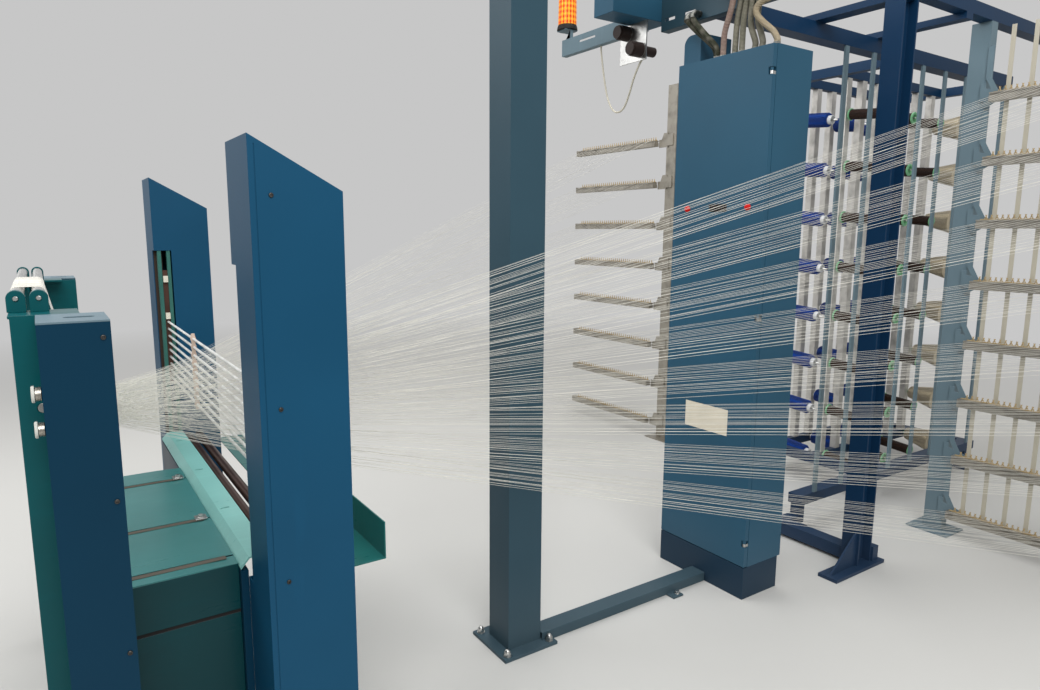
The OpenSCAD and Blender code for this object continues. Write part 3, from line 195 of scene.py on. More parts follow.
def linear(colour):
    return tuple(c / 12.92 if c <= 0.04045 else ((c + 0.055) / 1.055) ** 2.4 for c in colour) + (1.0,)


def tinted(colour, share):
    return tuple(min(1.0, c * share) for c in colour[:3]) + (1.0,)


class Value:
    """A socket in a node tree, used in sums like a number."""

    def __init__(self, nodes, socket):
        self.nodes = nodes
        self.socket = socket

    def maths(self, operation, first, second=0.0):
        return self.nodes.node("ShaderNodeMath", {"operation": operation}, {0: first, 1: second})

    def __add__(self, other):
        return self.maths("ADD", self, other)

    def __sub__(self, other):
        return self.maths("SUBTRACT", self, other)

    def __rsub__(self, other):
        return self.maths("SUBTRACT", other, self)

    def __mul__(self, other):
        return self.maths("MULTIPLY", self, other)

    def __truediv__(self, other):
        return self.maths("DIVIDE", self, other)

    __radd__ = __add__
    __rmul__ = __mul__

    def most(self, other):
        return self.maths("MAXIMUM", self, other)

    def step(self, low, high):
        """0 below low and 1 above high, even between them."""
        return self.maths("MINIMUM", ((self - low) / (high - low)).most(0.0), 1.0)

    def wave(self):
        return self.maths("SINE", self)


class Nodes:
    """A node tree in the making."""

    def __init__(self, tree):
        self.tree = tree

    def join(self, value, socket):
        if isinstance(value, Value):
            self.tree.links.new(value.socket, socket)
        else:
            socket.default_value = value

    def node(self, kind, settings=None, inputs=None, output=0):
        made = self.tree.nodes.new(kind)
        for name, value in (settings or {}).items():
            setattr(made, name, value)
        for name, value in (inputs or {}).items():
            self.join(value, made.inputs[name])
        return Value(self, made.outputs[output])


class Finish(Nodes):
    """A material in the making."""

    def __init__(self, name):
        self.material = bpy.data.materials.new(name)
        self.material.use_nodes = True
        super().__init__(self.material.node_tree)
        self.shader = self.tree.nodes["Principled BSDF"]
        self.shader.inputs["Specular IOR Level"].default_value = 0.16

    def set(self, **sockets):
        for name, value in sockets.items():
            self.join(value, self.shader.inputs[name.replace("_", " ")])

    def place(self):
        return self.node("ShaderNodeTexCoord", output="Object")

    def axis(self, name):
        return self.node("ShaderNodeSeparateXYZ", inputs={0: self.place()}, output=name)

    def attribute(self, name):
        return self.node("ShaderNodeAttribute", {"attribute_name": name}, output="Fac")

    def noise(self, scale, detail=2.0, stretch=None):
        vector = self.place()
        if stretch:
            vector = self.node("ShaderNodeMapping", inputs={"Vector": vector, "Scale": stretch})
        return self.node("ShaderNodeTexNoise", inputs={"Vector": vector, "Scale": scale, "Detail": detail})

    def mix(self, factor, first, second):
        return self.node("ShaderNodeMix", {"data_type": "RGBA"}, {0: factor, 6: first, 7: second}, 2)

    def bump(self, height, distance, strength=1.0):
        inputs = {"Height": height, "Distance": distance, "Strength": strength}
        self.set(Normal=self.node("ShaderNodeBump", inputs=inputs))


made_materials = {}


def kept(recipe):
    """Makes each material once, by a recipe for its finish and its base colour."""

    def make(name, colour=None, **values):
        if name not in made_materials:
            finish = Finish(name)
            recipe(finish, linear(getattr(colours(), name) if colour is None else colour), **values)
            made_materials[name] = finish.material
        return made_materials[name]

    return make


@kept
def powder_coat(finish, base, rough=0.42):
    """Sprayed and baked paint: orange peel, faint clouds, rubbed patches and dust near the floor."""
    clouds = finish.noise(2.2, 3)
    peel = finish.noise(420, 1)
    scratches = finish.noise(9, 5, (1, 1, 0.16)).step(0.66, 0.80) * 0.35
    dust = 1 - finish.axis("Z").step(0.0, 0.35)
    shade = finish.mix(clouds.step(0.3, 0.7), tinted(base, 0.93), tinted(base, 1.07))
    rubbed = finish.mix(scratches, shade, tinted(base, 1.5))
    dusty = finish.mix(dust * clouds * 0.12, rubbed, (0.30, 0.27, 0.23, 1))
    finish.set(Base_Color=dusty, Roughness=clouds * 0.14 + (rough - 0.07) + scratches * 0.2)
    finish.bump(peel + clouds * 0.6, 0.12 * MM, 0.6)


@kept
def enamel(finish, base):
    """Smooth wet paint on sheet: soft buckles and fine wipe marks."""
    clouds = finish.noise(3.5, 3)
    wipes = finish.noise(6, 6, (1, 7, 7))
    shade = finish.mix(clouds.step(0.3, 0.7), tinted(base, 0.9), tinted(base, 1.1))
    finish.set(Base_Color=finish.mix(wipes.step(0.55, 0.8) * 0.25, shade, tinted(base, 1.5)))
    finish.set(Roughness=wipes * 0.18 + 0.22, Coat_Weight=0.12, Coat_Roughness=0.2)
    finish.bump(clouds + wipes * 0.08, 1.2 * MM, 0.5)


@kept
def bare_metal(finish, base, rough=0.3, stretch=(1, 40, 1), metallic=1.0):
    """Drawn or brushed metal, with stains in the sheen."""
    brush = finish.noise(60, 3, stretch)
    stains = finish.noise(14, 5)
    shade = finish.mix(stains.step(0.45, 0.75), base, tinted(base, 0.62))
    finish.set(Base_Color=shade, Metallic=metallic, Roughness=brush * 0.2 + stains * 0.16 + (rough - 0.16))
    finish.bump(brush, 0.15 * MM, 0.4)


@kept
def plastic(finish, base, rough=0.45, grain=0.05):
    """Moulded plastic with a fine grain and finger marks."""
    marks = finish.noise(18, 4)
    shade = finish.mix(marks.step(0.4, 0.75), base, tinted(base, 0.92))
    finish.set(Base_Color=shade, Roughness=marks * 0.2 + (rough - 0.1))
    finish.bump(finish.noise(900, 2), grain * MM, 0.6)


@kept
def corrugated(finish, base):
    """Ribbed flexible conduit with dust in patches, and painted shade in the grooves between its ribs."""
    ribs = (finish.axis("Z") * (2 * math.pi / (5 * MM))).wave()
    dust = finish.noise(30, 4)
    # The grooves between the ribs are darker: painted shade.
    shade = finish.mix(ribs.step(-0.4, 1.0), tinted(base, 0.6), base)
    finish.set(Base_Color=finish.mix(dust.step(0.45, 0.8) * 0.4, shade, (0.42, 0.38, 0.32, 1)))
    finish.set(Roughness=dust * 0.2 + 0.45)
    finish.bump(ribs, 1.0 * MM, 0.8)


@kept
def glow_plastic(finish, base):
    """Clear coloured plastic over a ribbed lens, with painted highlights on the rib lattice and a faint
    painted glow, as the lamp is not lit.
    """
    ribs = (finish.attribute("around") * 16.0).wave()
    rings = (finish.axis("Z") * (2 * math.pi / (26 * MM))).wave()
    lattice = (ribs * 0.6 + rings * 0.4).step(-0.7, 0.8)
    # Darker between the ribs and bright on them: painted highlights on the lens.
    deep = (base[0] * 0.62, base[1] * 0.22, base[2], 1)
    bright = (1.0, min(1.0, base[1] * 2.4), base[2] * 8, 1)
    shade = finish.mix(lattice, deep, bright)
    # The emission is a painted glow that stands for light falling on the dome; the lamp is not lit.
    finish.set(Base_Color=shade, Roughness=0.22, Emission_Color=shade, Emission_Strength=0.22)
    finish.bump(ribs, 1.2 * MM, 0.8)


@kept
def wound(finish, base, pitch=1.6, sheen=0.3):
    """Yarn wound in crossing layers, darkened in the grooves between the strands: painted shade. The along
    attribute runs from end to end of the package.
    """
    along = finish.attribute("along") * (2 * math.pi / (pitch * MM))
    around = finish.attribute("around") * 3.0
    wander = finish.noise(160, 3)
    shade = finish.mix(wander.step(0.3, 0.75), tinted(base, 0.72), tinted(base, 1.25))
    strands = (along + around).wave() * 0.5 + (along - around).wave() * 0.5
    # Darker between the crossing strands: painted shade in the grooves.
    finish.set(Base_Color=finish.mix(strands.step(-0.9, 0.6) * 0.5, tinted(base, 0.6), shade))
    finish.set(Roughness=wander * 0.2 + 0.55, Sheen_Weight=sheen)
    finish.bump(strands + wander * 0.6, 0.9 * MM, 0.9)


@kept
def spun_yarn(finish, base):
    """Fine smooth yarn, a little uneven in brightness along its run."""
    uneven = finish.noise(25, 3, (0.3, 1, 1))
    shade = finish.mix(uneven.step(0.35, 0.7), tinted(base, 0.8), tinted(base, 1.1))
    finish.set(Base_Color=shade, Roughness=uneven * 0.2 + 0.4, Sheen_Weight=0.4)


@kept
def pale_floor(finish, base, backdrop):
    """A pale floor that fades into the backdrop far from the machine."""
    clouds = finish.noise(0.7, 4)
    finish.set(Base_Color=finish.mix(clouds, tinted(base, 0.97), tinted(base, 1.03)))
    finish.set(Roughness=clouds * 0.1 + 0.6)
    centre = (1.0, 0.6, 0.0)
    away = finish.node("ShaderNodeVectorMath", {"operation": "DISTANCE"}, {0: finish.place(), 1: centre}, 1)
    seen = finish.node("ShaderNodeLightPath", output="Is Camera Ray")
    glow = finish.node("ShaderNodeEmission", inputs={"Color": backdrop})
    near = Value(finish, finish.shader.outputs[0])
    mixed = finish.node("ShaderNodeMixShader", inputs={0: away.step(3.5, 10.0) * seen, 1: near, 2: glow})
    finish.join(mixed, finish.tree.nodes["Material Output"].inputs["Surface"])


def steel():
    return bare_metal("steel", rough=0.28)


def dark_plastic():
    return plastic("dark_plastic", rough=0.5)


# Modelling helpers


def only(*pieces):
    bpy.ops.object.select_all(action="DESELECT")
    for piece in pieces:
        piece.select_set(True)
    bpy.context.view_layer.objects.active = pieces[0]


def active():
    return bpy.context.view_layer.objects.active


def edit(piece):
    only(piece)
    bpy.ops.object.mode_set(mode="EDIT")
    bpy.ops.mesh.select_all(action="SELECT")


def leave_edit():
    bpy.ops.object.mode_set(mode="OBJECT")


def settle(piece, place=None):
    """Puts a piece's place into its mesh, after a move to another where one is given."""
    if place:
        piece.matrix_world = place
    only(piece)
    bpy.ops.object.transform_apply(location=True, rotation=True, scale=True)
    return piece


def united(name, parts):
    """One piece of several."""
    only(*parts)
    bpy.ops.object.join()
    active().name = name
    return active()


def outward(piece):
    edit(piece)
    bpy.ops.mesh.remove_doubles(threshold=WELD)
    bpy.ops.mesh.normals_make_consistent(inside=False)
    leave_edit()
    return piece


def smooth(piece, degrees=40):
    only(piece)
    bpy.ops.object.shade_smooth_by_angle(angle=math.radians(degrees))
    return piece


def shaped(piece, kind, **settings):
    """Applies a modifier."""
    modifier = piece.modifiers.new(kind.lower(), kind)
    for name, value in settings.items():
        setattr(modifier, name, value)
    only(piece)
    bpy.ops.object.modifier_apply(modifier=modifier.name)
    return piece


def round_edges(piece, width, segments=2):
    """Rounds edges. Large faces keep an even shade, and the narrow ones beside them turn the light."""
    shaped(piece, "BEVEL", width=width, segments=segments, limit_method="ANGLE", angle_limit=EDGE_ANGLE)
    return shaped(smooth(piece), "WEIGHTED_NORMAL", keep_sharp=True)


def bar(place, size, edge):
    """A bar with rounded edges, by its middle and its size."""
    bpy.ops.object.select_all(action="DESELECT")
    bpy.ops.mesh.primitive_cube_add(size=1, location=place)
    active().scale = size
    return round_edges(settle(active()), edge)


def dress(piece, body, material=None, node=None):
    """Gives a piece its body and its material, and hides the node that it stands for."""
    if material:
        piece.data.materials.clear()
        piece.data.materials.append(material)
    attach(piece, body)
    if node:
        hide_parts(node)
    return piece


def paint_part(piece, material, test):
    """Gives a further material to the faces whose middle passes the test."""
    piece.data.materials.append(material)
    for face in piece.data.polygons:
        if test(face.center):
            face.material_index = len(piece.data.materials) - 1


def copy_of(node):
    """A welded copy of a node, with flat faces made whole."""
    only(frame["nodes"][node])
    bpy.ops.object.duplicate()
    piece = active()
    piece.name = node + "_finish"
    piece.parent = None
    del piece["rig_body"]
    del piece["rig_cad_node"]
    edit(piece)
    bpy.ops.mesh.remove_doubles(threshold=WELD)
    bpy.ops.mesh.dissolve_limited(angle_limit=FLAT_ANGLE)
    leave_edit()
    return piece


def shift(piece, test, step):
    """Moves the corners that pass the test, as a wall that is set back."""
    edit(piece)
    bpy.ops.mesh.select_mode(type="VERT")
    bpy.ops.mesh.select_all(action="DESELECT")
    leave_edit()
    for corner in piece.data.vertices:
        corner.select = test(corner.co)
    bpy.ops.object.mode_set(mode="EDIT")
    bpy.ops.transform.translate(value=step)
    leave_edit()


def body_of(node):
    return next(b for b, nodes in frame["record"]["behaviour"]["bodies"].items() if node in nodes)


def rounded_copy(node, width, material, segments=2, moves=()):
    """A node's own shape with rounded edges. Each move is a test of a corner and the step it takes."""
    piece = copy_of(node)
    for test, step in moves:
        shift(piece, test, step)
    return dress(round_edges(piece, width, segments), body_of(node), material, node)


def round_all(width, material, *nodes):
    for node in nodes:
        rounded_copy(node, width, material)


def turned(name, profile, sides=32, ring=False, place=None):
    """A lathe shape about Z. The profile is (radius, height) pairs, and a ring's profile is closed."""
    bpy.ops.object.select_all(action="DESELECT")
    radius, height = profile[0]
    fill = "NOTHING" if ring else "NGON"
    bpy.ops.mesh.primitive_circle_add(vertices=sides, radius=radius, fill_type=fill, location=(0, 0, height))
    piece = settle(active())
    piece.name = name
    edit(piece)
    for next_radius, next_height in list(profile[1:]) + ([profile[0]] if ring else []):
        bpy.ops.mesh.extrude_region_move(TRANSFORM_OT_translate={"value": (0, 0, next_height - height)})
        share = next_radius / radius
        bpy.ops.transform.resize(value=(share, share, 1), center_override=(0, 0, next_height))
        radius, height = next_radius, next_height
    leave_edit()
    mark(outward(piece))
    smooth(piece)
    return settle(piece, place) if place else piece


def mark(piece):
    """Keeps each corner's place along and around the piece's own axis."""
    along = piece.data.attributes.new("along", "FLOAT", "POINT")
    around = piece.data.attributes.new("around", "FLOAT", "POINT")
    for corner in piece.data.vertices:
        along.data[corner.index].value = corner.co.z
        around.data[corner.index].value = abs(math.atan2(corner.co.y, corner.co.x))


def mirrored(profile, height=0.0):
    """A profile and its other half, back down from the height."""
    return profile + [(r, height - z) for r, z in reversed(profile)]


def spread(piece, places, name):
    """A piece of its own for each place, all joined into one. Each place is a matrix."""
    copies = []
    for place in places:
        only(piece)
        bpy.ops.object.duplicate()
        active().matrix_world = place
        copies.append(active())
    bpy.data.objects.remove(piece)
    return settle(united(name, copies))


def facing(direction, place):
    """A matrix that turns Z to a direction at a place."""
    return Matrix.Translation(place) @ Vector(direction).to_track_quat("Z", "Y").to_matrix().to_4x4()


def strands(name, lines, thickness, shares=None, facets=0):
    """A curve of one spline for each line of points, with a share of the thickness at each point."""
    curve = bpy.data.curves.new(name, "CURVE")
    curve.dimensions = "3D"
    curve.bevel_depth = thickness / 2
    curve.bevel_resolution = facets
    curve.use_fill_caps = True
    for points in lines:
        spline = curve.splines.new("POLY")
        spline.points.add(len(points) - 1)
        for corner, point, share in zip(spline.points, points, shares or [1.0] * len(points)):
            corner.co = (*point, 1)
            corner.radius = share
    piece = bpy.data.objects.new(name, curve)
    bpy.context.scene.collection.objects.link(piece)
    return piece


def as_mesh(piece):
    only(piece)
    bpy.ops.object.convert(target="MESH")
    return active()


# Camera and stage

CAMERA_PLACE = Vector((-1.410, -2.116, 1.550))
CAMERA_PITCH = 8.948
CAMERA_YAW = 33.968
CAMERA_ROLL = 0.377
CAMERA_FOCAL = 712.41
PHOTO_WIDTH = 1040
SENSOR = 36.0
SKY_COLOUR = (1.0, 0.98, 0.95, 1)
SKY_LIGHT = 0.50


class WARPING_OT_stage(bpy.types.Operator):
    """Adds the camera, the pale floor and backdrop, and the soft lights"""

    bl_idname = "warping.stage"
    bl_label = "Stage"

    def camera(self):
        pitch, yaw, roll = (math.radians(a) for a in (CAMERA_PITCH, CAMERA_YAW, CAMERA_ROLL))
        forward = Vector((math.sin(yaw) * math.cos(pitch), math.cos(yaw) * math.cos(pitch), -math.sin(pitch)))
        level = Vector((math.cos(yaw), -math.sin(yaw), 0))
        up = level.cross(forward)
        right = math.cos(roll) * level + math.sin(roll) * up
        above = -math.sin(roll) * level + math.cos(roll) * up
        turn = Matrix((right, above, -forward)).transposed().to_4x4()
        data = bpy.data.cameras.new("camera")
        data.sensor_width = SENSOR
        data.lens = CAMERA_FOCAL * SENSOR / PHOTO_WIDTH
        data.clip_end = 100
        camera = bpy.data.objects.new("camera", data)
        camera.matrix_world = Matrix.Translation(CAMERA_PLACE) @ turn
        bpy.context.scene.collection.objects.link(camera)
        bpy.context.scene.camera = camera

    def floor(self):
        bpy.ops.object.select_all(action="DESELECT")
        bpy.ops.mesh.primitive_plane_add(size=80, location=(0, 0, 0))
        floor = bpy.context.active_object
        floor.name = "studio_floor"
        floor.data.materials.append(pale_floor("studio_floor", backdrop=linear(colours().backdrop)))

    def lamp(self, name, place, target, size, power):
        data = bpy.data.lights.new(name, "AREA")
        data.size = size
        data.energy = power
        lamp = bpy.data.objects.new(name, data)
        lamp.matrix_world = facing(Vector(place) - Vector(target), place)
        bpy.context.scene.collection.objects.link(lamp)

    def world(self):
        world = bpy.data.worlds.new("studio")
        bpy.context.scene.world = world
        world.use_nodes = True
        sky = Nodes(world.node_tree)
        sky.tree.nodes.clear()
        names = ("Is Camera Ray", "Is Glossy Ray", "Is Transmission Ray")
        rays = [sky.node("ShaderNodeLightPath", output=name) for name in names]
        seen = rays[0].most(rays[1]).most(rays[2])
        light = sky.node("ShaderNodeBackground", inputs={"Color": SKY_COLOUR, "Strength": SKY_LIGHT})
        view = sky.node("ShaderNodeBackground", inputs={"Color": linear(colours().backdrop), "Strength": 1.0})
        mixed = sky.node("ShaderNodeMixShader", inputs={0: seen, 1: light, 2: view})
        sky.join(mixed, sky.tree.nodes.new("ShaderNodeOutputWorld").inputs["Surface"])

    def execute(self, context):
        self.camera()
        self.floor()
        self.world()
        self.lamp("key_light", (-1.5, -4.0, 4.6), (0.8, 0.3, 1.0), 3.5, 210)
        self.lamp("left_light", (-3.6, 3.0, 4.2), (0.0, 0.8, 0.8), 3.0, 120)
        self.lamp("top_light", (1.0, 0.6, 5.6), (1.0, 0.6, 0.0), 4.5, 170)
        context.scene.view_settings.view_transform = "Standard"
        return {"FINISHED"}


# Cables, with their points in mm

CONDUIT = 24 * MM
CABINET_TOP = 2273.5
ELBOW_POINTS = 5
ROUTE_STEPS = 6


def conduit(shade, foot, rise, bends, y, end=((1022, 2620), (1030, 2620), (1039.5, 2620))):
    """A conduit's shade and route: straight up from the cabinet, over its bends, level into the channel."""
    return shade, [(*foot, z) for z in (CABINET_TOP, *rise)] + bends + [(x, y, z) for x, z in end]


CONDUITS = (
    conduit("olive", (1040, 50), (2286, 2300),
            [(1034, 60, 2330), (1018, 94, 2368), (1004, 132, 2406), (998, 164, 2438), (996, 182, 2462)],
            186, ((1008, 2478), (1018, 2483.5), (1028, 2484), (1039.5, 2484))),
    conduit("olive", (1018, 26), (2286, 2300),
            [(1014, 34, 2326), (1004, 64, 2362), (996, 100, 2402), (992, 130, 2436), (992, 148, 2462)],
            152, ((1004, 2478), (1014, 2483.5), (1026, 2484), (1039.5, 2484))),
    conduit("rose", (1022, -2), (2288, 2310),
            [(1012, -14, 2370), (1002, -42, 2425), (996, -62, 2480), (986, -70, 2545), (990, -72, 2592),
             (1010, -72, 2618)], -72),
    conduit("grey", (1024, -62), (2288, 2310),
            [(1024, -66, 2404), (1018, -84, 2481), (1000, -100, 2545), (1000, -103, 2592),
             (1012, -103, 2616)], -103),
    conduit("grey", (1024, -96), (2288, 2310),
            [(1024, -98, 2400), (1020, -112, 2476), (1002, -129, 2545), (1000, -134, 2592),
             (1012, -134, 2616)], -134),
    conduit("grey", (1030, -156), (2288, 2310),
            [(1028, -131, 2380), (1024, -135, 2443), (1016, -144, 2490), (1002, -159, 2545),
             (1000, -165, 2592), (1012, -165, 2616)], -165),
    conduit("grey", (1032, -189), (2288, 2310),
            [(1030, -163, 2390), (1026, -167, 2450), (1012, -177, 2500), (1002, -190, 2545),
             (1000, -196, 2592), (1012, -196, 2616)], -196),
    conduit("beige", (1022, -265), (2284, 2296),
            [(1018, -246, 2328), (1008, -205, 2368), (1000, -180, 2400), (998, -180, 2426),
             (998, -206, 2442), (998, -256, 2452), (996, -290, 2484), (990, -300, 2530),
             (992, -300, 2585), (1010, -300, 2616)], -300),
)
HANG_ROUTE = [
    (1078, 850, 2499.4), (1078, 848, 2470), (1074, 830, 2400), (1068, 800, 2300),
    (1062, 766, 2220), (1056, 722, 2165), (1048, 672, 2146), (1036, 616, 2160),
    (1016, 560, 2210), (996, 510, 2270), (980, 460, 2320), (974, 430, 2344), (974, 428, 2357.5),
]


def eased(route):
    """Points on the smooth curve through a route's own points."""
    points = [Vector(p) for p in route]
    curve = []
    for i in range(len(points) - 1):
        a, b, c = points[max(i - 1, 0)], points[i], points[i + 1]
        d = points[min(i + 2, len(points) - 1)]
        for t in (k / ROUTE_STEPS for k in range(ROUTE_STEPS)):
            square = (2 * a - 5 * b + 4 * c - d) * t**2
            curve.append(0.5 * (2 * b + (c - a) * t + square + (3 * b - a - 3 * c + d) * t**3))
    curve.append(points[-1])
    return [p * MM for p in curve]


class WARPING_OT_cables(bpy.types.Operator):
    """Adds the conduits above the cabinet with their fittings, and the cable that hangs from the arm"""

    bl_idname = "warping.cables"
    bl_label = "Cables"

    def cable(self, name, points, diameter, material, slot, node, far_end, lay, fittings=()):
        piece = strands(name, [points], diameter, facets=4)
        dress(piece, "root", material, node)
        run = sum((b - a).length for a, b in zip(points, points[1:]))

    def fitting(self, name, points, foot):
        """A nut on the cabinet, and an elbow with its collar and its nut on the channel."""
        elbow = as_mesh(strands(name, [points], CONDUIT + 2.5 * MM, facets=4))
        parts = [smooth(outward(elbow), 60)]
        inside = CONDUIT / 2 + 0.3 * MM
        nut = [(inside, 0), (inside + 2.7 * MM, 0), (inside + 2.7 * MM, 11 * MM), (inside, 12 * MM)]
        cuff = [(inside, 0), (inside + 2 * MM, 0.5 * MM), (inside + 2 * MM, 9 * MM), (inside, 10 * MM)]
        for kind, profile, sides, place, turn in (
            ("foot", nut, 6, foot, (0, 0, 1)),
            ("web", nut, 6, points[-1] + Vector((0.5 * MM, 0, 0)), (-1, 0, 0)),
            ("cuff", cuff, 24, points[0], points[0] - points[1]),
        ):
            parts.append(turned(f"{name}_{kind}", profile, sides, True, facing(turn, place)))
        zinc = bare_metal("fitting_zinc", rough=0.4)
        return dress(united(name, parts), "root", zinc, "supply_cables")

    def execute(self, context):
        for k, (shade, route) in enumerate(CONDUITS):
            points = eased(route)
            turn = (len(route) - ELBOW_POINTS) * ROUTE_STEPS
            foot = points[0] - Vector((0, 0, 0.5 * MM))
            fitting = self.fitting(f"conduit_fitting_{k + 1}", points[turn:], foot)
            self.cable(
                f"conduit_{k + 1}", points[: turn + 1], CONDUIT, corrugated("conduit_" + shade),
                "cable_grey", "supply_cables", "fitting", "taut", (fitting,),
            )
        self.cable(
            "hanging_cable_loop", eased(HANG_ROUTE), 9 * MM, plastic("cable_pale", rough=0.5),
            "cable_pale", "hanging_cable", "object", "hanging",
        )
        return {"FINISHED"}


# Yarns

ROD_TOP = RODS_HIGH.z - 16 * MM
ROD_LOW = RODS_LOW.z + 16 * MM
ROD_PITCH = (ROD_TOP - ROD_LOW) / TIERS
ROD_X = middle("split_rods").x
RAIL_X = middle("rail_combs").x
RAIL_TOP = COMB_HIGH.z - 7 * MM
RAIL_PITCH = 297 * MM
REED_X = middle("reed").x
REED_Z = 1.094
REED_FACE = 6 * MM
BAND_HALF = span("wound_yarn", 1) / 2 - 2 * MM
BAND_START = middle("wound_yarn").y - BAND_HALF
BAND_COUNT = 160
DRAWN = 0.5
FAR_DROP = 5
DROP_START = 0.10
DROP_END = 0.76
RAIL_RUNS = {"right": (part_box("right_yarns")[0].y, -0.535), "left": (1.824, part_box("left_yarns")[1].y)}
ROD_RUNS = {"right": (-0.316, -0.066), "left": (-0.016, 0.784)}


def tier_z(i):
    return RAIL_TOP - i * RAIL_PITCH


def arc(centre, radius, degrees):
    """Points of (x, z) round a roller's axis."""
    turns = [math.radians(a) for a in degrees]
    return [(centre[0] + radius * math.cos(a), centre[2] + radius * math.sin(a)) for a in turns]


class WARPING_OT_yarns(bpy.types.Operator):
    """Strings the yarns from the guide rails through the split rods and the reed to the take-up roll"""

    bl_idname = "warping.yarns"
    bl_label = "Yarns"

    def gap_z(self, tier, rod_y):
        """Height between the rods that a tier's yarn takes: towards the far column only the lower ones."""
        lowest = TIERS - 1
        first = FAR_DROP * min(max((rod_y - DROP_START) / (DROP_END - DROP_START), 0), 1)
        gap = round(first + tier * (lowest - first) / lowest)
        return ROD_TOP - (gap + 0.5) * ROD_PITCH

    def fan(self, side, first):
        """Both runs of one tower's yarns: rails to rods, and rods to reed."""
        rail_start, rail_end = RAIL_RUNS[side]
        rod_start, rod_end = ROD_RUNS[side]
        count = sizes().yarns_per_rail
        pitch = BAND_HALF / (count * TIERS)
        draw = random.Random(side)
        long_run, short_run = [], []
        for j in range(count):
            share = j / (count - 1)
            for i in range(TIERS):
                wander = draw.uniform(-0.3, 0.3) / count
                place = min(max(share + wander, 0), 1)
                rail_y = rail_start + place * (rail_end - rail_start)
                rod_y = rod_start + place * (rod_end - rod_start)
                lift = draw.uniform(-0.25, 0.25) * ROD_PITCH
                rod = Vector((ROD_X, rod_y, self.gap_z(i, rod_y) + lift))
                rail = Vector((RAIL_X, rail_y, tier_z(i) + draw.uniform(-3, 2) * MM))
                dent_y = BAND_START + ((first * count + j) * TIERS + i + 0.5) * pitch
                long_run.append([rail, rod])
                short_run.append([rod, Vector((REED_X + REED_FACE, dent_y, REED_Z))])
        for name, run, start, shares in (
            (side + "_yarn_sheet", long_run, (RAIL_X, 0, 0), (1.0, DRAWN)),
            (side + "_reed_yarns", short_run, (REED_X, 0, 0), (DRAWN, DRAWN)),
        ):
            piece = as_mesh(strands(name, run, sizes().yarn, shares))
            piece.data.materials.clear()
            piece.data.materials.append(spun_yarn("ecru_yarn"))
            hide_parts(side + "_yarns")
            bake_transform(piece)

    def band(self):
        """Yarns from the reed over the delivery rollers, down to the take-up roll."""
        back = joint_place("delivery_back_spin")
        radius = span("front_delivery_roller", 0) / 2 + 0.8 * MM
        route = [(REED_X + REED_FACE, REED_Z)]
        route += arc(joint_place("delivery_front_spin"), radius, range(-12, 91, 17))
        route += arc(back, radius, range(90, 181, 18))
        route.append((back[0] - radius, joint_place("take_up_spin")[2] + 0.02))
        step = 2 * (BAND_HALF - 1 * MM) / (BAND_COUNT - 1)
        first = BAND_START + 1 * MM
        lines = [[(x, first + k * step, z) for x, z in route] for k in range(BAND_COUNT)]
        piece = as_mesh(strands("delivery_yarns", lines, sizes().yarn * DRAWN))
        dress(piece, "root", spun_yarn("ecru_yarn"), "yarn_band")

    def roll(self):
        radius = span("wound_yarn", 2) / 2
        bore = 25.3 * MM
        half = span("wound_yarn", 1) / 2
        crown = 3 * MM
        profile = [(bore, -half), (radius - crown, -half), (radius, -half + crown), (radius, half - crown)]
        profile += [(radius - crown, half), (bore, half)]
        piece = turned("wound_yarn_roll", profile, 64, True, facing((0, 1, 0), middle("wound_yarn")))
        finish = wound("wound_ecru", colours().ecru_yarn, pitch=1.2)
        dress(piece, "take_up", finish, "wound_yarn")

    def execute(self, context):
        self.fan("right", 0)
        self.fan("left", 1)
        self.band()
        self.roll()
        return {"FINISHED"}


# Sheet metal, beams and castings

BOX_CUT = 270 * MM
LAMP_IN = 75 * MM
LAMP_BRACKET = 371 * MM
MOTOR_PLATE = 69 * MM


class WARPING_OT_portal(bpy.types.Operator):
    """Rounds and paints the portal, the overhead gear and the floor beam"""

    bl_idname = "warping.portal"
    bl_label = "Portal"

    def execute(self, context):
        edge = sizes().beam_edge
        nodes = ("portal_post", "overhead_beam", "cross_channel", "floor_beam")
        round_all(edge, powder_coat("post_paint", rough=0.38), *nodes)
        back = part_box("overhead_box")[1].y
        moves = [(lambda corner: corner.y > back - 10 * MM, (0, -BOX_CUT, 0))]
        rounded_copy("overhead_box", edge, powder_coat("cabinet_blue"), 2, moves)
        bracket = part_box("slotted_arm")[0].y + LAMP_BRACKET
        moves = [
            (lambda corner: corner.y < back + 1 * MM, (0, -BOX_CUT, 0)),
            (lambda corner: corner.y > bracket, (0, -LAMP_IN, 0)),
        ]
        rounded_copy("slotted_arm", 1 * MM, powder_coat("grey_blue"), 2, moves)
        round_all(0.8 * MM, steel(), "anchor_bolts", "floor_bolts")
        return {"FINISHED"}


